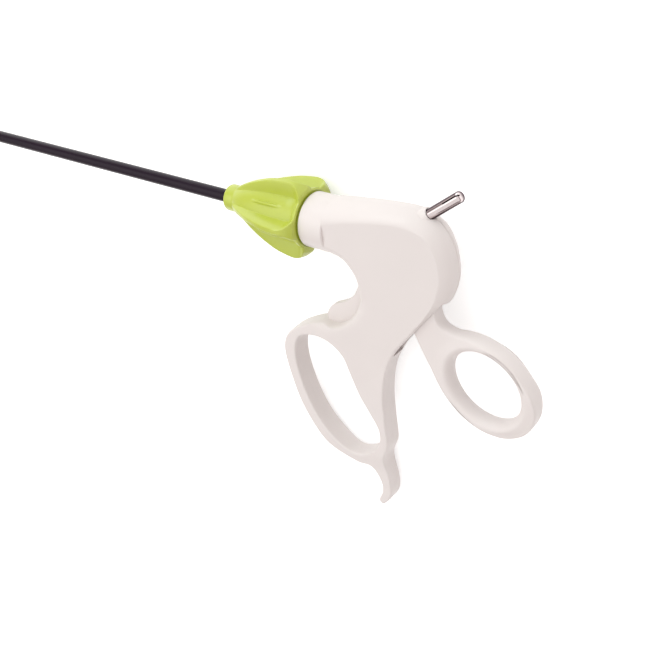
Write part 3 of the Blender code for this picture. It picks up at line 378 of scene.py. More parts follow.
def lever_half_at(x, y):
    """Half thickness of the lever: its ring is thicker than its arm."""
    near, far = RING_BLEND
    distance = math.hypot(x - RING_CENTRE[0], y - RING_CENTRE[1])
    return LEVER_HALF + (RING_HALF - LEVER_HALF) * smooth(between(distance, far, near))


def lever_powers_at(x, y):
    """The ring's outer corner is tight on the side away from the handle."""
    dx, dy = x - RING_CENTRE[0], y - RING_CENTRE[1]
    away = math.hypot(dx, dy)
    if away < RING_BLEND[0]:
        return 1.0, 1.0
    facing = (dx * math.cos(RING_TIGHT_SIDE) + dy * math.sin(RING_TIGHT_SIDE)) / away
    high, low = RING_POWERS
    power = high + (low - high) * smooth(between(facing, *RING_TIGHT_COSINE))
    return power, power


def housing_outline(steps):
    runs = [spline(run, steps)[:-1] for run in (HOUSING_FRONT, HOUSING_MOUTH, HOUSING_BACK)]
    return runs[0] + runs[1] + runs[2] + [HOUSING_BACK[-1]]


def lever_outline(steps):
    """The lever's outline, closed over the fork that holds the rod's ball."""
    pivot = lever_pivot()
    along = Vector((-math.sin(LEVER_LEAN), math.cos(LEVER_LEAN)))
    across = Vector((along.y, -along.x))
    ball = Vector((pivot.x + pivot.y * LEVER_LEAN, 0.0))
    left = ball + FORK_TOP * along - FORK_HALF * across
    right = ball + FORK_TOP * along + FORK_HALF * across
    return [(*left, FORK_EDGE), *spline(LEVER_LEFT, steps), (*right, FORK_EDGE)]


def ring_hole():
    """The thumb hole, a leaning ellipse."""
    long, short = RING_HOLE
    lean = Matrix.Rotation(RING_TURN, 2)
    found = []
    for i in range(RING_HOLE_SIDES):
        angle = 2 * math.pi * i / RING_HOLE_SIDES
        spot = lean @ Vector((long * math.cos(angle), short * math.sin(angle)))
        found.append((RING_CENTRE[0] + spot.x, RING_CENTRE[1] + spot.y, RING_HOLE_EDGE))
    return found


def edge_rings(flat, widths, half_at, low, steps, powers_at, grooves, outwards):
    """The rings of one rounded edge from the seam up, each as its points and their heights.

    A groove bevels the seam edge. The last ring lies flat on the top and holds the edge's shading.
    """
    halves = [half_at(*spot) for spot in moved_in(flat, widths, outwards)]
    powers = [powers_at(*spot) for spot in flat]
    rings = [(flat, [low + groove for groove in grooves])] if any(grooves) else []
    for step in range(1, steps + 1):
        angle = math.pi / 2 * step / steps
        across, up = max(0.0, math.cos(angle)), math.sin(angle)
        ring = moved_in(flat, [w * (1 - across**p) for w, (p, _) in zip(widths, powers)], outwards)
        rings.append((ring, [low + (half - low) * up**p for half, (_, p) in zip(halves, powers)]))
    ring = moved_in(flat, [w + SUPPORT for w in widths], outwards)
    return rings + [(ring, [half_at(*spot) for spot in ring])]


def rounded_plate(loops, half_at, low, steps, grid, grid_area, powers_at=lambda x, y: (1.0, 1.0),
                  groove_at=lambda x, y: 0.0):
    """Half a moulded plate: each outline is extruded up in rings that round over, and the top is filled.

    Grid lines cut across the top let it follow half_at where that curves.
    """
    bm = bmesh.new()
    index = bm.verts.layers.int.new("row")
    first, last = [], []
    for number, loop in enumerate(loops):
        flat = [row[:2] for row in loop]
        widths = [row[2] for row in loop]
        outwards = number > 0
        grooves = [groove_at(*spot) for spot in flat]
        verts = [bm.verts.new((x, y, low)) for x, y in moved_in(flat, grooves, outwards)]
        for i, v in enumerate(verts):
            v[index] = i
        edges = [bm.edges.new((verts[i - 1], verts[i])) for i in range(len(verts))]
        first += edges
        for ring, heights in edge_rings(flat, widths, half_at, low, steps, powers_at, grooves, outwards):
            fresh, edges = extruded(bm, edges)
            for v in fresh:
                v.co = (*ring[v[index]], heights[v[index]])
        last += edges
    bmesh.ops.triangle_fill(bm, use_beauty=True, use_dissolve=False, edges=first, normal=(0, 0, -1))
    made = bmesh.ops.triangle_fill(bm, use_beauty=True, use_dissolve=False, edges=last, normal=(0, 0, 1))
    top = crossed(bm, of_kind(made["geom"], bmesh.types.BMFace), grid, grid_area)
    for v in {v for face in top for v in face.verts if all(f in top for f in v.link_faces)}:
        v.co.z = half_at(v.co.x, v.co.y)
    bmesh.ops.recalc_face_normals(bm, faces=bm.faces)
    return bm


def crossed(bm, faces, step, area):
    """Cuts faces along lines of constant x and y inside an area, and returns the faces there are then."""
    faces = set(faces)
    for axis in (0, 1):
        start, end = area[0][axis], area[1][axis]
        normal = [float(k == axis) for k in range(3)]
        for number in range(int((end - start) / step) + 1):
            level = start + number * step
            near = [f for f in faces if reaches_over(f, axis, level)]
            geom = near + list({e for f in near for e in f.edges}) + list({v for f in near for v in f.verts})
            cut = bmesh.ops.bisect_plane(bm, geom=geom, dist=1e-4, plane_co=[level * n for n in normal],
                                         plane_no=normal)
            faces.update(of_kind(cut["geom"], bmesh.types.BMFace))
            faces = {f for f in faces if f.is_valid}
    return faces


def reaches_over(face, axis, level):
    found = [v.co[axis] for v in face.verts]
    return min(found) < level < max(found)


def of_kind(geom, kind):
    return [g for g in geom if isinstance(g, kind)]


def extruded(bm, edges):
    """The new points and edges of a run of edges extruded in place."""
    made = bmesh.ops.extrude_edge_only(bm, edges=edges)["geom"]
    fresh = set(of_kind(made, bmesh.types.BMVert))
    return fresh, [e for e in of_kind(made, bmesh.types.BMEdge) if set(e.verts) <= fresh]


def both_sides(bm):
    """Adds the mirror image across the middle plane and joins the two."""
    seam = [f for f in bm.faces if all(abs(v.co.z) < 1e-6 for v in f.verts)]
    bmesh.ops.delete(bm, geom=seam, context="FACES")
    bmesh.ops.mirror(bm, geom=bm.verts[:] + bm.edges[:] + bm.faces[:], matrix=Matrix.Identity(4),
                     merge_dist=1e-4, axis="Z")
    bmesh.ops.remove_doubles(bm, verts=bm.verts, dist=1e-4)
    bmesh.ops.recalc_face_normals(bm, faces=bm.faces)


def prism(loop, low, high):
    """A flat outline extruded along z."""
    bm = bmesh.new()
    face = bm.faces.new([bm.verts.new((spot[0], spot[1], low)) for spot in loop])
    top = bmesh.ops.extrude_face_region(bm, geom=[face])["geom"]
    bmesh.ops.translate(bm, vec=(0, 0, high - low), verts=of_kind(top, bmesh.types.BMVert))
    bmesh.ops.recalc_face_normals(bm, faces=bm.faces)
    return bm


def turned(profile, sides, hollow=False):
    """Rows of x and radius spun about the x axis. A hollow one closes on itself."""
    bm = bmesh.new()
    verts = [bm.verts.new((x, radius, 0)) for x, radius in profile]
    edges = [bm.edges.new(pair) for pair in zip(verts, verts[1:])]
    if hollow:
        edges.append(bm.edges.new((verts[-1], verts[0])))
    bmesh.ops.spin(bm, geom=verts + edges, cent=(0, 0, 0), axis=(1, 0, 0), dvec=(0, 0, 0),
                   angle=2 * math.pi, steps=sides, use_merge=True, use_duplicate=False)
    bmesh.ops.remove_doubles(bm, verts=bm.verts, dist=1e-5)
    if not hollow:
        bmesh.ops.holes_fill(bm, edges=[e for e in bm.edges if e.is_boundary], sides=0)
    bmesh.ops.recalc_face_normals(bm, faces=bm.faces)
    return bm


def bar(start, end, radius):
    """A round bar between two points."""
    start, end = Vector(start), Vector(end)
    bm = turned([(0, radius), ((end - start).length, radius)], BAR_SIDES)
    turn = (end - start).to_track_quat("X", "Z").to_matrix().to_4x4()
    bm.transform(Matrix.Translation(start) @ turn @ Matrix.Rotation(math.pi / BAR_SIDES, 4, "X"))
    return bm


def block(low, high):
    """A box between two corners."""
    bm = bmesh.new()
    bmesh.ops.create_cube(bm, size=1.0)
    for v in bm.verts:
        v.co = [low[k] if v.co[k] < 0 else high[k] for k in range(3)]
    return bm


def round_over(bm, edges, width, segments, clamp=False):
    bmesh.ops.bevel(bm, geom=edges, offset=width, offset_type="OFFSET", segments=segments, profile=0.5,
                    affect="EDGES", clamp_overlap=clamp, material=-1)


def mesh_object(name, bm):
    """A new object in the scene that takes over a bmesh."""
    mesh = bpy.data.meshes.new(name)
    bm.to_mesh(mesh)
    bm.free()
    obj = bpy.data.objects.new(name, mesh)
    bpy.context.scene.collection.objects.link(obj)
    return obj


def shaped(name, bm, cuts):
    """The mesh left after each cut or join, applied in order."""
    obj = mesh_object(name, bm)
    tools = []
    for operation, tool in cuts:
        cutter = mesh_object(f"{name}_tool", tool)
        step = obj.modifiers.new("cut", "BOOLEAN")
        step.object = cutter
        step.operation = operation
        step.solver = "MANIFOLD"
        tools.append(cutter)
    bpy.context.view_layer.update()
    baked = bpy.data.meshes.new_from_object(obj.evaluated_get(bpy.context.evaluated_depsgraph_get()))
    for spare in (*tools, obj):
        bpy.data.objects.remove(spare)
    found = bmesh.new()
    found.from_mesh(baked)
    bmesh.ops.remove_doubles(found, verts=found.verts, dist=0.004)
    bmesh.ops.dissolve_degenerate(found, edges=found.edges, dist=1e-4)
    return found


def piece(name, bm, finish, body, stands_for=(), sharp=32.0, place=True):
    """The finished object: its place is in its mesh, and it rides on its body."""
    if place:
        bm.transform(PLACE)
    obj = mesh_object(name, bm)
    obj.data.shade_smooth()
    obj.data.set_sharp_from_angle(angle=math.radians(sharp))
    obj.data.materials.append(finish)
    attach(obj, body)
    if stands_for:
        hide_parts(*stands_for)


def rounded_copy(name, node, finish, body, width, angle=40.0):
    """A CAD piece copied, its facets merged and its sharp edges rounded."""
    source = frame["nodes"][node]
    bm = bmesh.new()
    bm.from_mesh(source.data)
    bm.transform(source.matrix_world)
    bmesh.ops.remove_doubles(bm, verts=bm.verts, dist=1e-7)
    bmesh.ops.recalc_face_normals(bm, faces=bm.faces)
    bmesh.ops.dissolve_limit(bm, angle_limit=math.radians(0.5), verts=bm.verts, edges=bm.edges)
    sharp = [e for e in bm.edges if e.is_manifold and e.calc_face_angle() > math.radians(angle)]
    round_over(bm, sharp, width * MM, 2, clamp=True)
    piece(name, bm, finish, body, [node], sharp=angle, place=False)


def dress(nodes, made):
    """Gives CAD pieces that keep their own mesh a procedural finish."""
    for node in nodes:
        mesh = frame["nodes"][node].data
        mesh.materials.clear()
        mesh.materials.append(made)


def link(tree, source, output, target, socket):
    tree.links.new(source.outputs[output], target.inputs[socket])


def added(tree, kind, values=None, **settings):
    """A new node with its settings and the values of its inputs."""
    node = tree.nodes.new(kind)
    for name, value in settings.items():
        setattr(node, name, value)
    for socket, value in (values or {}).items():
        node.inputs[socket].default_value = value
    return node


def surface_group(name, inputs):
    """A new node group with the given inputs and the outputs that every surface has."""
    group = bpy.data.node_groups.new(name, "ShaderNodeTree")
    face = group.interface
    kinds = {"Colour": "NodeSocketColor"}
    for socket, value in inputs.items():
        kind = kinds.get(socket, "NodeSocketFloat")
        face.new_socket(name=socket, in_out="INPUT", socket_type=kind).default_value = value
    for socket in ("Colour", "Roughness", "Height"):
        kind = kinds.get(socket, "NodeSocketFloat")
        face.new_socket(name=socket, in_out="OUTPUT", socket_type=kind)
    return group, added(group, "NodeGroupInput"), added(group, "NodeGroupOutput")


def darken(group, start, factor, output, end):
    """The group's colour is what comes in times a factor."""
    mixed = added(group, "ShaderNodeMix", {"Factor": 1.0}, data_type="RGBA", blend_type="MULTIPLY")
    link(group, start, "Colour", mixed, MIX_A)
    link(group, factor, output, mixed, MIX_B)
    link(group, mixed, MIX_RESULT, end, "Colour")


def vary_roughness(group, start, pattern, low, high, end):
    """The group's roughness is what comes in times a factor that follows a pattern."""
    spread = added(group, "ShaderNodeMapRange", {"To Min": low, "To Max": high})
    rough = added(group, "ShaderNodeMath", operation="MULTIPLY")
    link(group, pattern, "Fac", spread, "Value")
    link(group, spread, "Result", rough, 0)
    link(group, start, "Roughness", rough, 1)
    link(group, rough, "Value", end, "Roughness")


def moulded_group():
    """Moulded plastic: slow clouds in the colour and the roughness, and a fine orange peel."""
    found = bpy.data.node_groups.get("moulded_plastic")
    if found:
        return found
    group, start, end = surface_group("moulded_plastic", {
        "Colour": (0.8, 0.8, 0.8, 1), "Shade": 0.04, "Roughness": 0.4, "Grain": 900.0})
    where = added(group, "ShaderNodeTexCoord")
    clouds = added(group, "ShaderNodeTexNoise", {"Scale": 55.0, "Detail": 3.0})
    peel = added(group, "ShaderNodeTexNoise", {"Detail": 2.0})
    shade = added(group, "ShaderNodeMath", operation="MULTIPLY")
    keep = added(group, "ShaderNodeMath", {0: 1.0}, operation="SUBTRACT")
    link(group, where, "Object", clouds, "Vector")
    link(group, where, "Object", peel, "Vector")
    link(group, start, "Grain", peel, "Scale")
    link(group, clouds, "Fac", shade, 0)
    link(group, start, "Shade", shade, 1)
    link(group, shade, "Value", keep, 1)
    darken(group, start, keep, "Value", end)
    vary_roughness(group, start, clouds, 0.85, 1.15, end)
    link(group, peel, "Fac", end, "Height")
    return group


def ground_group():
    """Ground steel: fine grinding lines along one axis, in roughness, colour and height."""
    found = bpy.data.node_groups.get("ground_steel")
    if found:
        return found
    group, start, end = surface_group("ground_steel", {
        "Colour": (0.6, 0.6, 0.6, 1), "Roughness": 0.3, "Lines": 4000.0})
    where = added(group, "ShaderNodeTexCoord")
    stretch = added(group, "ShaderNodeMapping", {"Scale": (1.0, 0.06, 0.06)})
    lines = added(group, "ShaderNodeTexNoise", {"Detail": 2.0})
    tint = added(group, "ShaderNodeMapRange", {"To Min": 0.88, "To Max": 1.0})
    link(group, where, "Object", stretch, "Vector")
    link(group, stretch, "Vector", lines, "Vector")
    link(group, start, "Lines", lines, "Scale")
    link(group, lines, "Fac", tint, "Value")
    darken(group, start, tint, "Result", end)
    vary_roughness(group, start, lines, 0.7, 1.3, end)
    link(group, lines, "Fac", end, "Height")
    return group


def finish(name, group, values, bump, metallic=0.0, coat=0.0, specular=0.5, edge=None):
    """A Principled material fed by a surface group, with a painted dark reflection mixed into the colour
    where the surface turns away from the camera.
    """
    found = bpy.data.materials.get(name)
    if found:
        return found
    made = bpy.data.materials.new(name)
    made.use_nodes = True
    tree = made.node_tree
    shader = tree.nodes["Principled BSDF"]
    surface = added(tree, "ShaderNodeGroup", node_tree=group)
    for socket, value in values.items():
        surface.inputs[socket].default_value = (*value, 1.0) if socket == "Colour" else value
    height = added(tree, "ShaderNodeBump", {"Strength": bump[0], "Distance": bump[1]})
    link(tree, surface, "Colour", shader, "Base Color")
    link(tree, surface, "Roughness", shader, "Roughness")
    link(tree, surface, "Height", height, "Height")
    link(tree, height, "Normal", shader, "Normal")
    shader.inputs["Metallic"].default_value = metallic
    shader.inputs["Coat Weight"].default_value = coat
    shader.inputs["Specular IOR Level"].default_value = specular
    # The edge colour is a painted dark reflection: where the surface turns away from the camera, the base
    # colour is mixed towards it.
    if edge:
        facing = added(tree, "ShaderNodeLayerWeight")
        painted_reflection_share = added(tree, "ShaderNodeMapRange", {"From Min": 0.3, "From Max": 0.5},
                            interpolation_type="SMOOTHSTEP")
        rim = added(tree, "ShaderNodeMix", {MIX_B: (*edge, 1.0)}, data_type="RGBA")
        link(tree, facing, "Facing", painted_reflection_share, "Value")
        link(tree, painted_reflection_share, "Result", rim, "Factor")
        link(tree, surface, "Colour", rim, MIX_A)
        link(tree, rim, MIX_RESULT, shader, "Base Color")
    return made


def housing_finish():
    return finish("housing_plastic", moulded_group(),
                  {"Colour": colours().housing, "Shade": 0.05, "Roughness": 0.42, "Grain": 1400.0},
                  (0.08, 0.05 * MM), specular=0.45)


def knob_finish():
    return finish("knob_plastic", moulded_group(),
                  {"Colour": colours().knob, "Shade": 0.08, "Roughness": 0.32, "Grain": 1200.0},
                  (0.08, 0.05 * MM), specular=0.8, coat=0.1)


def sleeve_finish():
    return finish("sleeve_plastic", moulded_group(),
                  {"Colour": colours().sleeve, "Shade": 0.3, "Roughness": 0.3, "Grain": 1800.0},
                  (0.15, 0.04 * MM), specular=0.2)


def nylon_finish():
    return finish("hub_nylon", moulded_group(),
                  {"Colour": (0.74, 0.74, 0.71), "Shade": 0.06, "Roughness": 0.5, "Grain": 1200.0},
                  (0.1, 0.05 * MM))


def rubber_finish():
    return finish("seal_rubber", moulded_group(),
                  {"Colour": (0.05, 0.05, 0.05), "Shade": 0.3, "Roughness": 0.8, "Grain": 2500.0},
                  (0.3, 0.05 * MM))


def steel_finish():
    return finish("ground_steel", ground_group(),
                  {"Colour": colours().steel, "Roughness": 0.27, "Lines": 3000.0},
                  (0.12, 0.02 * MM), metallic=1.0)


def nickel_finish():
    # Its edge colour is a painted dark reflection down the pin's sides, not a colour of the nickel.
    return finish("polished_nickel", ground_group(),
                  {"Colour": colours().nickel, "Roughness": 0.1, "Lines": 900.0},
                  (0.05, 0.02 * MM), metallic=1.0, edge=(0.05, 0.02, 0.03))


def pin_spot(distance):
    """A point on the cord pin's axis, by its distance from the foot."""
    return (PIN_FOOT[0] + distance * math.cos(PIN_LEAN), PIN_FOOT[1] + distance * math.sin(PIN_LEAN), 0.0)


def pin_place():
    """Turns a piece spun about x onto the cord pin's axis."""
    return Matrix.Translation(pin_spot(0)) @ Matrix.Rotation(PIN_LEAN, 4, "Z")


def nose():
    """The round nose in front of the housing, its rim rounded over."""
    rim = [(0.0, NOSE_RADIUS - NOSE_RIM)]
    for eighths in (1, 2, 3):
        angle = eighths * math.pi / 8
        across, up = NOSE_RIM * math.cos(angle), NOSE_RIM * math.sin(angle)
        rim.append((NOSE_RIM - across, NOSE_RADIUS - NOSE_RIM + up))
    rim += [(NOSE_RIM, NOSE_RADIUS), (NOSE_LENGTH - NOSE_STEP, NOSE_RADIUS),
            (NOSE_LENGTH, NOSE_RADIUS - NOSE_STEP)]
    return turned(rim, NOSE_SIDES)


def pin_boss():
    """The low boss round the cord pin's foot."""
    radius, height = PIN_BOSS
    boss = turned([(-4.0, radius + 0.5), (-0.6, radius + 0.35), (0.1, radius + 0.1), (height - 0.3, radius),
                   (height - 0.1, radius - 0.1), (height, radius - 0.3)], HOLE_SIDES)
    boss.transform(pin_place())
    return boss


def recess_web():
    """The web in the recess, with a rounded rim."""
    web = prism([*spline(WEB, 5), *WEB_INSIDE], UNDER, WEB_HALF)
    round_over(web, [e for e in web.edges if all(v.co.z > 0 for v in e.verts)], WEB_ROUND, 3)
    return web


def cavity():
    """The hollow behind the side panel, as deep as the panel is thick less its wall."""
    outline = housing_outline(CAVITY_STEPS)
    inner = moved_in([row[:2] for row in outline], [WALL] * len(outline))
    loop = [(x, y, max(CAVITY_EDGE, row[2] - CAVITY_EDGE)) for (x, y), row in zip(inner, outline)
            if y > CAVITY_FLOOR_Y and x > CAVITY_FRONT_X]
    return rounded_plate([loop], lambda x, y: max(CAVITY_LEAST_HALF, housing_half_at(x, y) - WALL), UNDER,
                         CAVITY_STEPS, CAVITY_GRID_STEP, CAVITY_GRID)


def hub_passage():
    """The bores for the hub: through the nose, its bearing wall and into the cavity."""
    bore = NOSE_RADIUS - WALL
    front, back = BEARING_X
    return turned([(-1.0, HUB_BORE), (NOSE_WALL, HUB_BORE), (NOSE_WALL, bore), (front, bore),
                   (front, NECK_BORE), (back, NECK_BORE), (back, HUB_CAVITY),
                   (HUB_CAVITY_END_X, HUB_CAVITY)], HOLE_SIDES)


def housing_shell():
    """The left half of the handle, in the instrument's millimetres."""
    steps = sizes().outline_steps
    hole = spline(FINGER_HOLE, steps, closed=True)
    shell = rounded_plate([housing_outline(steps), hole], housing_half_at, SEAM_HALF, sizes().edge_steps,
                          sizes().grid_step / MM, HOUSING_GRID, housing_powers_at, housing_groove_at)
    pivot = lever_pivot()
    boss_top = housing_half_at(pivot.x, pivot.y) - WALL / 2
    pivot_boss = bar((pivot.x, pivot.y, SLOT_HALF), (pivot.x, pivot.y, boss_top), LEVER_PIN_BOSS)
    hole_top = boss_top - LEVER_PIN_END_GAP
    pivot_hole = bar((pivot.x, pivot.y, UNDER), (pivot.x, pivot.y, hole_top), LEVER_PIN_BORE)
    pin_hole = bar(pin_spot(-9.0), pin_spot(4.0), PIN_RADIUS + FIT)
    flange_room = bar(pin_spot(-PIN_DEPTH - 4), pin_spot(-PIN_DEPTH + PIN_FLANGE[1] + 1.0),
                      PIN_FLANGE[0] + 2 * FIT)
    ahead = block((-BEYOND, -NOSE_RADIUS - 1, -BEYOND), (NOSE_LENGTH - NOSE_OVERLAP, BEYOND, BEYOND))
    seam = block((-BEYOND, BELOW_HOOK, -BEYOND), (BEHIND_GRIP, BEYOND, SEAM_HALF))
    return shaped("housing", shell, [
        ("DIFFERENCE", ahead), ("UNION", nose()), ("UNION", pin_boss()), ("UNION", recess_web()),
        ("DIFFERENCE", cavity()), ("DIFFERENCE", prism(SLOT, UNDER, SLOT_HALF)),
        ("DIFFERENCE", hub_passage()), ("UNION", pivot_boss), ("DIFFERENCE", pivot_hole),
        ("DIFFERENCE", pin_hole), ("DIFFERENCE", flange_room), ("DIFFERENCE", seam)])


class SCISSORS_OT_housing(bpy.types.Operator):
    """Build both halves of the handle housing"""

    bl_idname = "scissors.housing"
    bl_label = "Housing halves"

    def execute(self, context):
        left = housing_shell()
        right = left.copy()
        right.transform(Matrix.Scale(-1, 4, (0, 0, 1)))
        bmesh.ops.reverse_faces(right, faces=right.faces)
        piece("left_housing_shell", left, housing_finish(), "handle", ["housing_left"])
        piece("right_housing_shell", right, housing_finish(), "handle", ["housing_right"])
        return {"FINISHED"}


class SCISSORS_OT_lever(bpy.types.Operator):
    """Build the thumb lever with its ring and fork"""

    bl_idname = "scissors.lever"
    bl_label = "Thumb lever"

    def execute(self, context):
        steps = sizes().outline_steps
        plate = rounded_plate([lever_outline(steps), ring_hole()], lever_half_at, 0.0, sizes().edge_steps,
                              sizes().grid_step / MM, LEVER_GRID, lever_powers_at)
        both_sides(plate)
        pivot = lever_pivot()
        reach = LEVER_HALF + 1
        half = BALL_RADIUS + FIT
        arm = -pivot.y
        lean = Matrix.Translation((pivot.x, pivot.y, 0)) @ Matrix.Rotation(LEVER_LEAN, 4, "Z")
        notch = block((-half, arm - half, -reach), (half, arm + FORK_TOP + 2, reach))
        slit_half = ROD_RADIUS + 4 * FIT
        slit = block((-FORK_HALF - 2, arm - half, -slit_half), (0, arm + FORK_TOP + 2, slit_half))
        for tool in (notch, slit):
            tool.transform(lean)
        bore = bar((pivot.x, pivot.y, -reach), (pivot.x, pivot.y, reach), LEVER_PIN_BORE - FIT)
        made = shaped("lever", plate, [("DIFFERENCE", bore), ("DIFFERENCE", notch), ("DIFFERENCE", slit)])
        piece("thumb_lever_moulding", made, housing_finish(), "lever", ["thumb_lever"])
        return {"FINISHED"}


def along_line(line, x):
    """A smooth radius at x along a list of rows."""
    if x <= line[0][0]:
        return line[0][1]
    for i in range(len(line) - 1):
        (x0, r0), (x1, r1) = line[i], line[i + 1]
        if x <= x1:
            before = line[i - 1] if i else (2 * x0 - x1, 2 * r0 - r1)
            after = line[i + 2] if i + 2 < len(line) else (2 * x1 - x0, 2 * r1 - r0)
            t = (x - x0) / (x1 - x0)
            m0 = (r1 - before[1]) / (x1 - before[0]) * (x1 - x0)
            m1 = (after[1] - r0) / (after[0] - x0) * (x1 - x0)
            return ((2 * t**3 - 3 * t**2 + 1) * r0 + (t**3 - 2 * t**2 + t) * m0
                    + (-2 * t**3 + 3 * t**2) * r1 + (t**3 - t**2) * m1)
    return line[-1][1]


def knob_radius(x, angle):
    """Narrow wings with broad flutes between them, and a thin rib down each flute."""
    pitch = 2 * math.pi / WINGS
    phase = ((angle - WING_TURN) / pitch + 0.5) % 1.0 - 0.5
    flare = WING_FLARE * clamped(between(x, *WING_FLARE_X)) ** WING_FLARE_POWER
    side = (abs(phase) - WING_CREST - flare) / (WING_FOOT - WING_CREST)
    wing = 1 - WING_SOFT * smooth(side) - (1 - WING_SOFT) * clamped(side)
    flute, crest = along_line(FLUTE_LINE, x), along_line(WING_LINE, x)
    radius = flute + (crest - flute) * wing
    across = abs((abs(phase) - 0.5) * pitch * radius)
    front, back = RIB_X
    run = smooth((x - front) / RIB_RUN) * smooth((back - x) / RIB_RUN)
    return radius + RIB_HEIGHT * run * (1 - smooth(between(across, RIB_CREST, RIB_HALF)))


def knob_stations():
    """Places along the knob from front to back, each with the change of its radius."""
    wings = WING_LINE[0][0]
    found = [(KNOB_FRONT_X + along, change) for along, change in COLLAR_EDGE]
    found += [(wings - ahead, 0.0) for ahead in COLLAR_END]
    runs = ((wings, KNOB_DENSE_X), (KNOB_DENSE_X, KNOB_BACK_X))
    for (start, end), count in zip(runs, KNOB_STATIONS):
        found += [(start + (end - start) * k / count, 0.0) for k in range(count)]
    return found + [(KNOB_BACK_X, 0.0)]


def knob_body():
    """The knob's outside: a ring of edges extruded back from station to station."""
    bm = bmesh.new()
    index = bm.verts.layers.int.new("row")
    made = bmesh.ops.create_circle(bm, cap_ends=False, radius=1.0, segments=KNOB_SIDES)
    ring = sorted(made["verts"], key=lambda v: math.atan2(v.co.y, v.co.x) % (2 * math.pi))
    for i, v in enumerate(ring):
        v[index] = i
    first = edges = bm.edges[:]
    for number, (x, change) in enumerate(knob_stations()):
        if number:
            ring, edges = extruded(bm, edges)
        for v in ring:
            angle = 2 * math.pi * v[index] / KNOB_SIDES
            radius = (COLLAR_RADIUS if x < WING_LINE[0][0] else knob_radius(x, angle)) + change
            v.co = (x, radius * math.cos(angle), radius * math.sin(angle))
    for rim in (first, edges):
        bmesh.ops.edgeloop_fill(bm, edges=rim)
    bmesh.ops.recalc_face_normals(bm, faces=bm.faces)
    back = [e for e in bm.edges if all(abs(v.co.x - KNOB_BACK_X) < 1e-5 for v in e.verts)]
    round_over(bm, back, KNOB_BACK_ROUND, 4)
    return bm


class SCISSORS_OT_knob(bpy.types.Operator):
    """Build the winged rotation knob"""

    bl_idname = "scissors.knob"
    bl_label = "Rotation knob"

    def execute(self, context):
        sleeve_bore = SLEEVE_RADIUS + SLEEVE_FIT
        bore = turned([(KNOB_FRONT_X - 1, sleeve_bore), (KNOB_HUB_X, sleeve_bore), (KNOB_HUB_X, HUB_BORE),
                       (1, HUB_BORE)], HOLE_SIDES)
        inner, outer, depth = BACK_RECESS
        recess = turned([(KNOB_BACK_X - depth, inner), (KNOB_BACK_X - depth, outer), (1, outer), (1, inner)],
                        NOSE_SIDES, hollow=True)
        made = shaped("knob", knob_body(), [("DIFFERENCE", bore), ("DIFFERENCE", recess)])
        piece("winged_knob", made, knob_finish(), "shaft", ["rotation_knob"], sharp=38.0)
        return {"FINISHED"}


class SCISSORS_OT_pin(bpy.types.Operator):
    """Build the polished cord pin"""

    bl_idname = "scissors.pin"
    bl_label = "Cord pin"

    def execute(self, context):
        r = PIN_RADIUS
        wide, thick = PIN_FLANGE
        foot = -PIN_DEPTH
        rows = [(foot, wide - PIN_FLANGE_EDGE), (foot + PIN_FLANGE_EDGE, wide), (foot + thick, wide),
                (foot + thick, r)]
        rows += [(PIN_REACH - along, r - inside) for along, inside in PIN_TIP]
        width, length, depth = PIN_SLOT
        slot = block((PIN_REACH - length, r - depth, -width / 2), (PIN_REACH + 1, r + 1, width / 2))
        slot.transform(Matrix.Rotation(PIN_SLOT_TURN, 4, "X"))
        pin = shaped("pin", turned(rows, sizes().round_sides), [("DIFFERENCE", slot)])
        pin.transform(pin_place())
        piece("cord_pin", pin, nickel_finish(), "handle", ["connector_pin"], sharp=40.0)
        return {"FINISHED"}


class SCISSORS_OT_shaft(bpy.types.Operator):
    """Build the insulated shaft and finish the pieces inside it"""

    bl_idname = "scissors.shaft"
    bl_label = "Shaft"

    def execute(self, context):
        front, back = SLEEVE_X
        r = SLEEVE_RADIUS
        rows = [(front, SLEEVE_BORE)]
        rows += [(front + along, r - inside) for along, inside in SLEEVE_LIP]
        rows += [(front + (back - front) * k / SLEEVE_LENGTHS, r) for k in range(1, SLEEVE_LENGTHS)]
        rows += [(back, r), (back, SLEEVE_BORE)]
        sleeve = turned(rows, sizes().round_sides, hollow=True)
        piece("insulating_sleeve", sleeve, sleeve_finish(), "shaft", ["shaft_insulation"])
        dress(("shaft_hub",), nylon_finish())
        dress(("knob_friction_ring", "shaft_seal"), rubber_finish())
        dress(("hub_retaining_clip", "shaft_tube", "drive_rod", "rod_ball", "drive_pin", "lever_pivot_pin",
               "contact_leaf"), steel_finish())
        return {"FINISHED"}


class SCISSORS_OT_jaws(bpy.types.Operator):
    """Finish the clevis, its pin and the two blades"""

    bl_idname = "scissors.jaws"
    bl_label = "Jaws"

    def execute(self, context):
        steel = steel_finish()
        dress(("jaw_pivot_pin",), steel)
        rounded_copy("rounded_clevis", "jaw_clevis", steel, "shaft", 0.06)
        rounded_copy("rounded_yoke", "drive_yoke", steel, "rod", 0.04)
        rounded_copy("ground_upper_blade", "blade_upper", steel, "jaw_upper", 0.03)
        rounded_copy("ground_lower_blade", "blade_lower", steel, "jaw_lower", 0.03)
        return {"FINISHED"}


# The camera in the instrument's millimetres, fitted to the photo.
CAMERA_SPOT = (203.18, 155.21, 255.75)
CAMERA_RIGHT = (0.8065, -0.0619, -0.588)
CAMERA_UP = (-0.2660, 0.850, -0.454)
CAMERA_LENS = 55.38
# The sky's colour by the sine of its height: a pale horizon, a dim band for metal to mirror, then white.
HORIZON = (0.9, 0.84, 0.81)
DIM_BAND = (0.26, 0.22, 0.22)
OVERHEAD = (1.0, 0.985, 0.975)
SKY = ((0.0, HORIZON), (0.17, HORIZON), (0.25, DIM_BAND), (0.42, DIM_BAND), (0.54, OVERHEAD), (1.0, OVERHEAD))
SKY_STRENGTH = 1.06
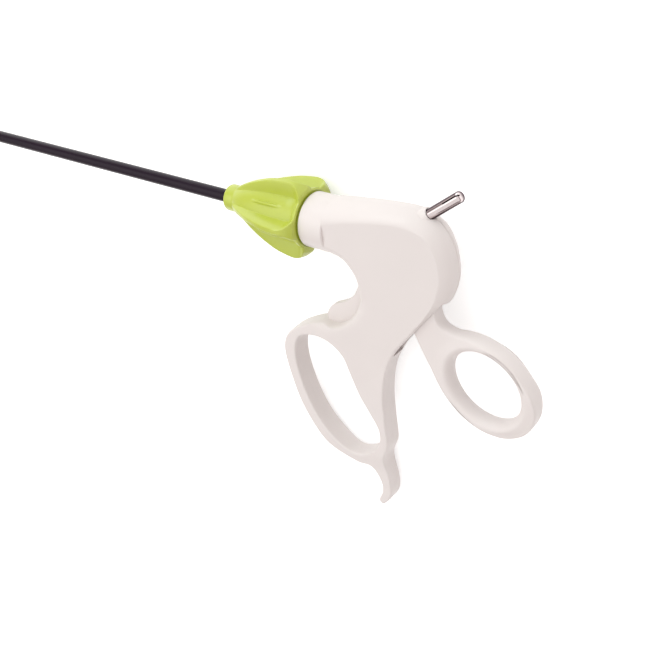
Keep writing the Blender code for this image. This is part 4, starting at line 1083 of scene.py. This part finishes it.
# Each lamp's direction is to the camera's right, up and back; then its power in watts and its colour.
LAMPS = (("key", (-0.5, 0.8, 0.55), 3.25, (0.9, 1.0, 1.0)),
         ("fill", (-0.9, 0.0, 0.4), 0.9, (1.0, 0.97, 0.95)))
LAMP_AIM = (0.16, 0.0, 0.01)
LAMP_DISTANCE = 0.9
LAMP_SIZE = 0.7
FLOOR_HALF = 4.0
FLOOR_DROP = 0.0002
FLOOR_GLOW = 0.45


def camera_turn():
    """The camera's right, up and back directions in the row frame."""
    turn = PLACE.to_3x3()
    right = (turn @ Vector(CAMERA_RIGHT)).normalized()
    up = (turn @ Vector(CAMERA_UP)).normalized()
    back = right.cross(up).normalized()
    return right, back.cross(right), back


def place_camera(scene):
    camera = bpy.data.objects.new("camera", bpy.data.cameras.new("camera"))
    scene.collection.objects.link(camera)
    turn = Matrix(camera_turn()).transposed().to_4x4()
    camera.matrix_world = Matrix.Translation(PLACE @ Vector(CAMERA_SPOT)) @ turn
    camera.data.lens = CAMERA_LENS
    camera.data.clip_start = 0.01
    scene.camera = camera


def paint_sky(scene):
    """A world whose colour follows its height."""
    world = bpy.data.worlds.new("studio")
    scene.world = world
    world.use_nodes = True
    tree = world.node_tree
    sky = tree.nodes["Background"]
    sky.inputs["Strength"].default_value = SKY_STRENGTH
    where = added(tree, "ShaderNodeTexCoord")
    parts = added(tree, "ShaderNodeSeparateXYZ")
    ramp = added(tree, "ShaderNodeValToRGB")
    stops = ramp.color_ramp.elements
    for height, _ in SKY[2:]:
        stops.new(height)
    for stop, (height, colour) in zip(stops, SKY):
        stop.position = height
        stop.color = (*colour, 1)
    link(tree, where, "Generated", parts, "Vector")
    link(tree, parts, "Z", ramp, "Fac")
    link(tree, ramp, "Color", sky, "Color")


def hang_lamps(scene):
    """Soft round lamps that face the handle."""
    right, up, back = camera_turn()
    aim = Vector(LAMP_AIM)
    for name, (across, above, behind), power, colour in LAMPS:
        lamp = bpy.data.lights.new(name, "AREA")
        lamp.shape = "DISK"
        lamp.size = LAMP_SIZE
        lamp.energy = power
        lamp.color = colour
        obj = bpy.data.objects.new(name, lamp)
        scene.collection.objects.link(obj)
        obj.location = aim + LAMP_DISTANCE * (up * above + right * across + back * behind)
        obj.rotation_euler = (aim - obj.location).to_track_quat("-Z", "Y").to_euler()


def floor_finish():
    """White that glows a little for the camera and for mirrors only, so that it stays paper white."""
    made = bpy.data.materials.new("floor_white")
    made.use_nodes = True
    tree = made.node_tree
    shader = tree.nodes["Principled BSDF"]
    shader.inputs["Base Color"].default_value = (0.9, 0.9, 0.9, 1)
    shader.inputs["Roughness"].default_value = 0.9
    shader.inputs["Specular IOR Level"].default_value = 0.0
    rays = added(tree, "ShaderNodeLightPath")
    seen = added(tree, "ShaderNodeMath", operation="MAXIMUM")
    glow = added(tree, "ShaderNodeEmission", {"Color": (1, 1, 1, 1)})
    lift = added(tree, "ShaderNodeMath", {1: FLOOR_GLOW}, operation="MULTIPLY")
    both = added(tree, "ShaderNodeAddShader")
    link(tree, rays, "Is Camera Ray", seen, 0)
    link(tree, rays, "Is Glossy Ray", seen, 1)
    link(tree, seen, "Value", lift, 0)
    link(tree, lift, "Value", glow, "Strength")
    link(tree, shader, 0, both, 0)
    link(tree, glow, 0, both, 1)
    link(tree, both, 0, tree.nodes["Material Output"], "Surface")
    return made


class SCISSORS_OT_stage(bpy.types.Operator):
    """Set up the floor, the light and the camera"""

    bl_idname = "scissors.stage"
    bl_label = "Stage"

    def execute(self, context):
        context.scene.view_settings.view_transform = "Standard"
        place_camera(context.scene)
        floor_mesh = bmesh.new()
        bmesh.ops.create_grid(floor_mesh, x_segments=1, y_segments=1, size=FLOOR_HALF)
        floor = mesh_object("floor", floor_mesh)
        floor.location = (0, 0, -FLOOR_DROP)
        floor.data.materials.append(floor_finish())
        paint_sky(context.scene)
        hang_lamps(context.scene)
        return {"FINISHED"}


STEPS = (SCISSORS_OT_housing, SCISSORS_OT_lever, SCISSORS_OT_knob, SCISSORS_OT_pin, SCISSORS_OT_shaft,
         SCISSORS_OT_jaws, SCISSORS_OT_stage)


class SCISSORS_PT_panel(bpy.types.Panel):
    """Lists the sizes, the colours and the pieces."""

    bl_label = "Scissors"
    bl_idname = "SCISSORS_PT_panel"
    bl_space_type = "VIEW_3D"
    bl_region_type = "UI"
    bl_category = "Scissors"

    def draw(self, context):
        layout = self.layout
        for group in (sizes(), colours()):
            for name in group.__annotations__:
                layout.prop(group, name)
        for step in STEPS:
            layout.operator(step.bl_idname)


CLASSES = (ScissorsSizes, ScissorsColours, *STEPS, SCISSORS_PT_panel)


def register():
    for kind in CLASSES:
        bpy.utils.register_class(kind)
    bpy.types.Scene.scissors_sizes = PointerProperty(type=ScissorsSizes)
    bpy.types.Scene.scissors_colours = PointerProperty(type=ScissorsColours)


def unregister():
    del bpy.types.Scene.scissors_colours
    del bpy.types.Scene.scissors_sizes
    for kind in reversed(CLASSES):
        bpy.utils.unregister_class(kind)


def main():
    register()
    bpy.ops.scissors.housing()
    bpy.ops.scissors.lever()
    bpy.ops.scissors.knob()
    bpy.ops.scissors.pin()
    bpy.ops.scissors.shaft()
    bpy.ops.scissors.jaws()
    bpy.ops.scissors.stage()


if __name__ == "__main__":
    main()
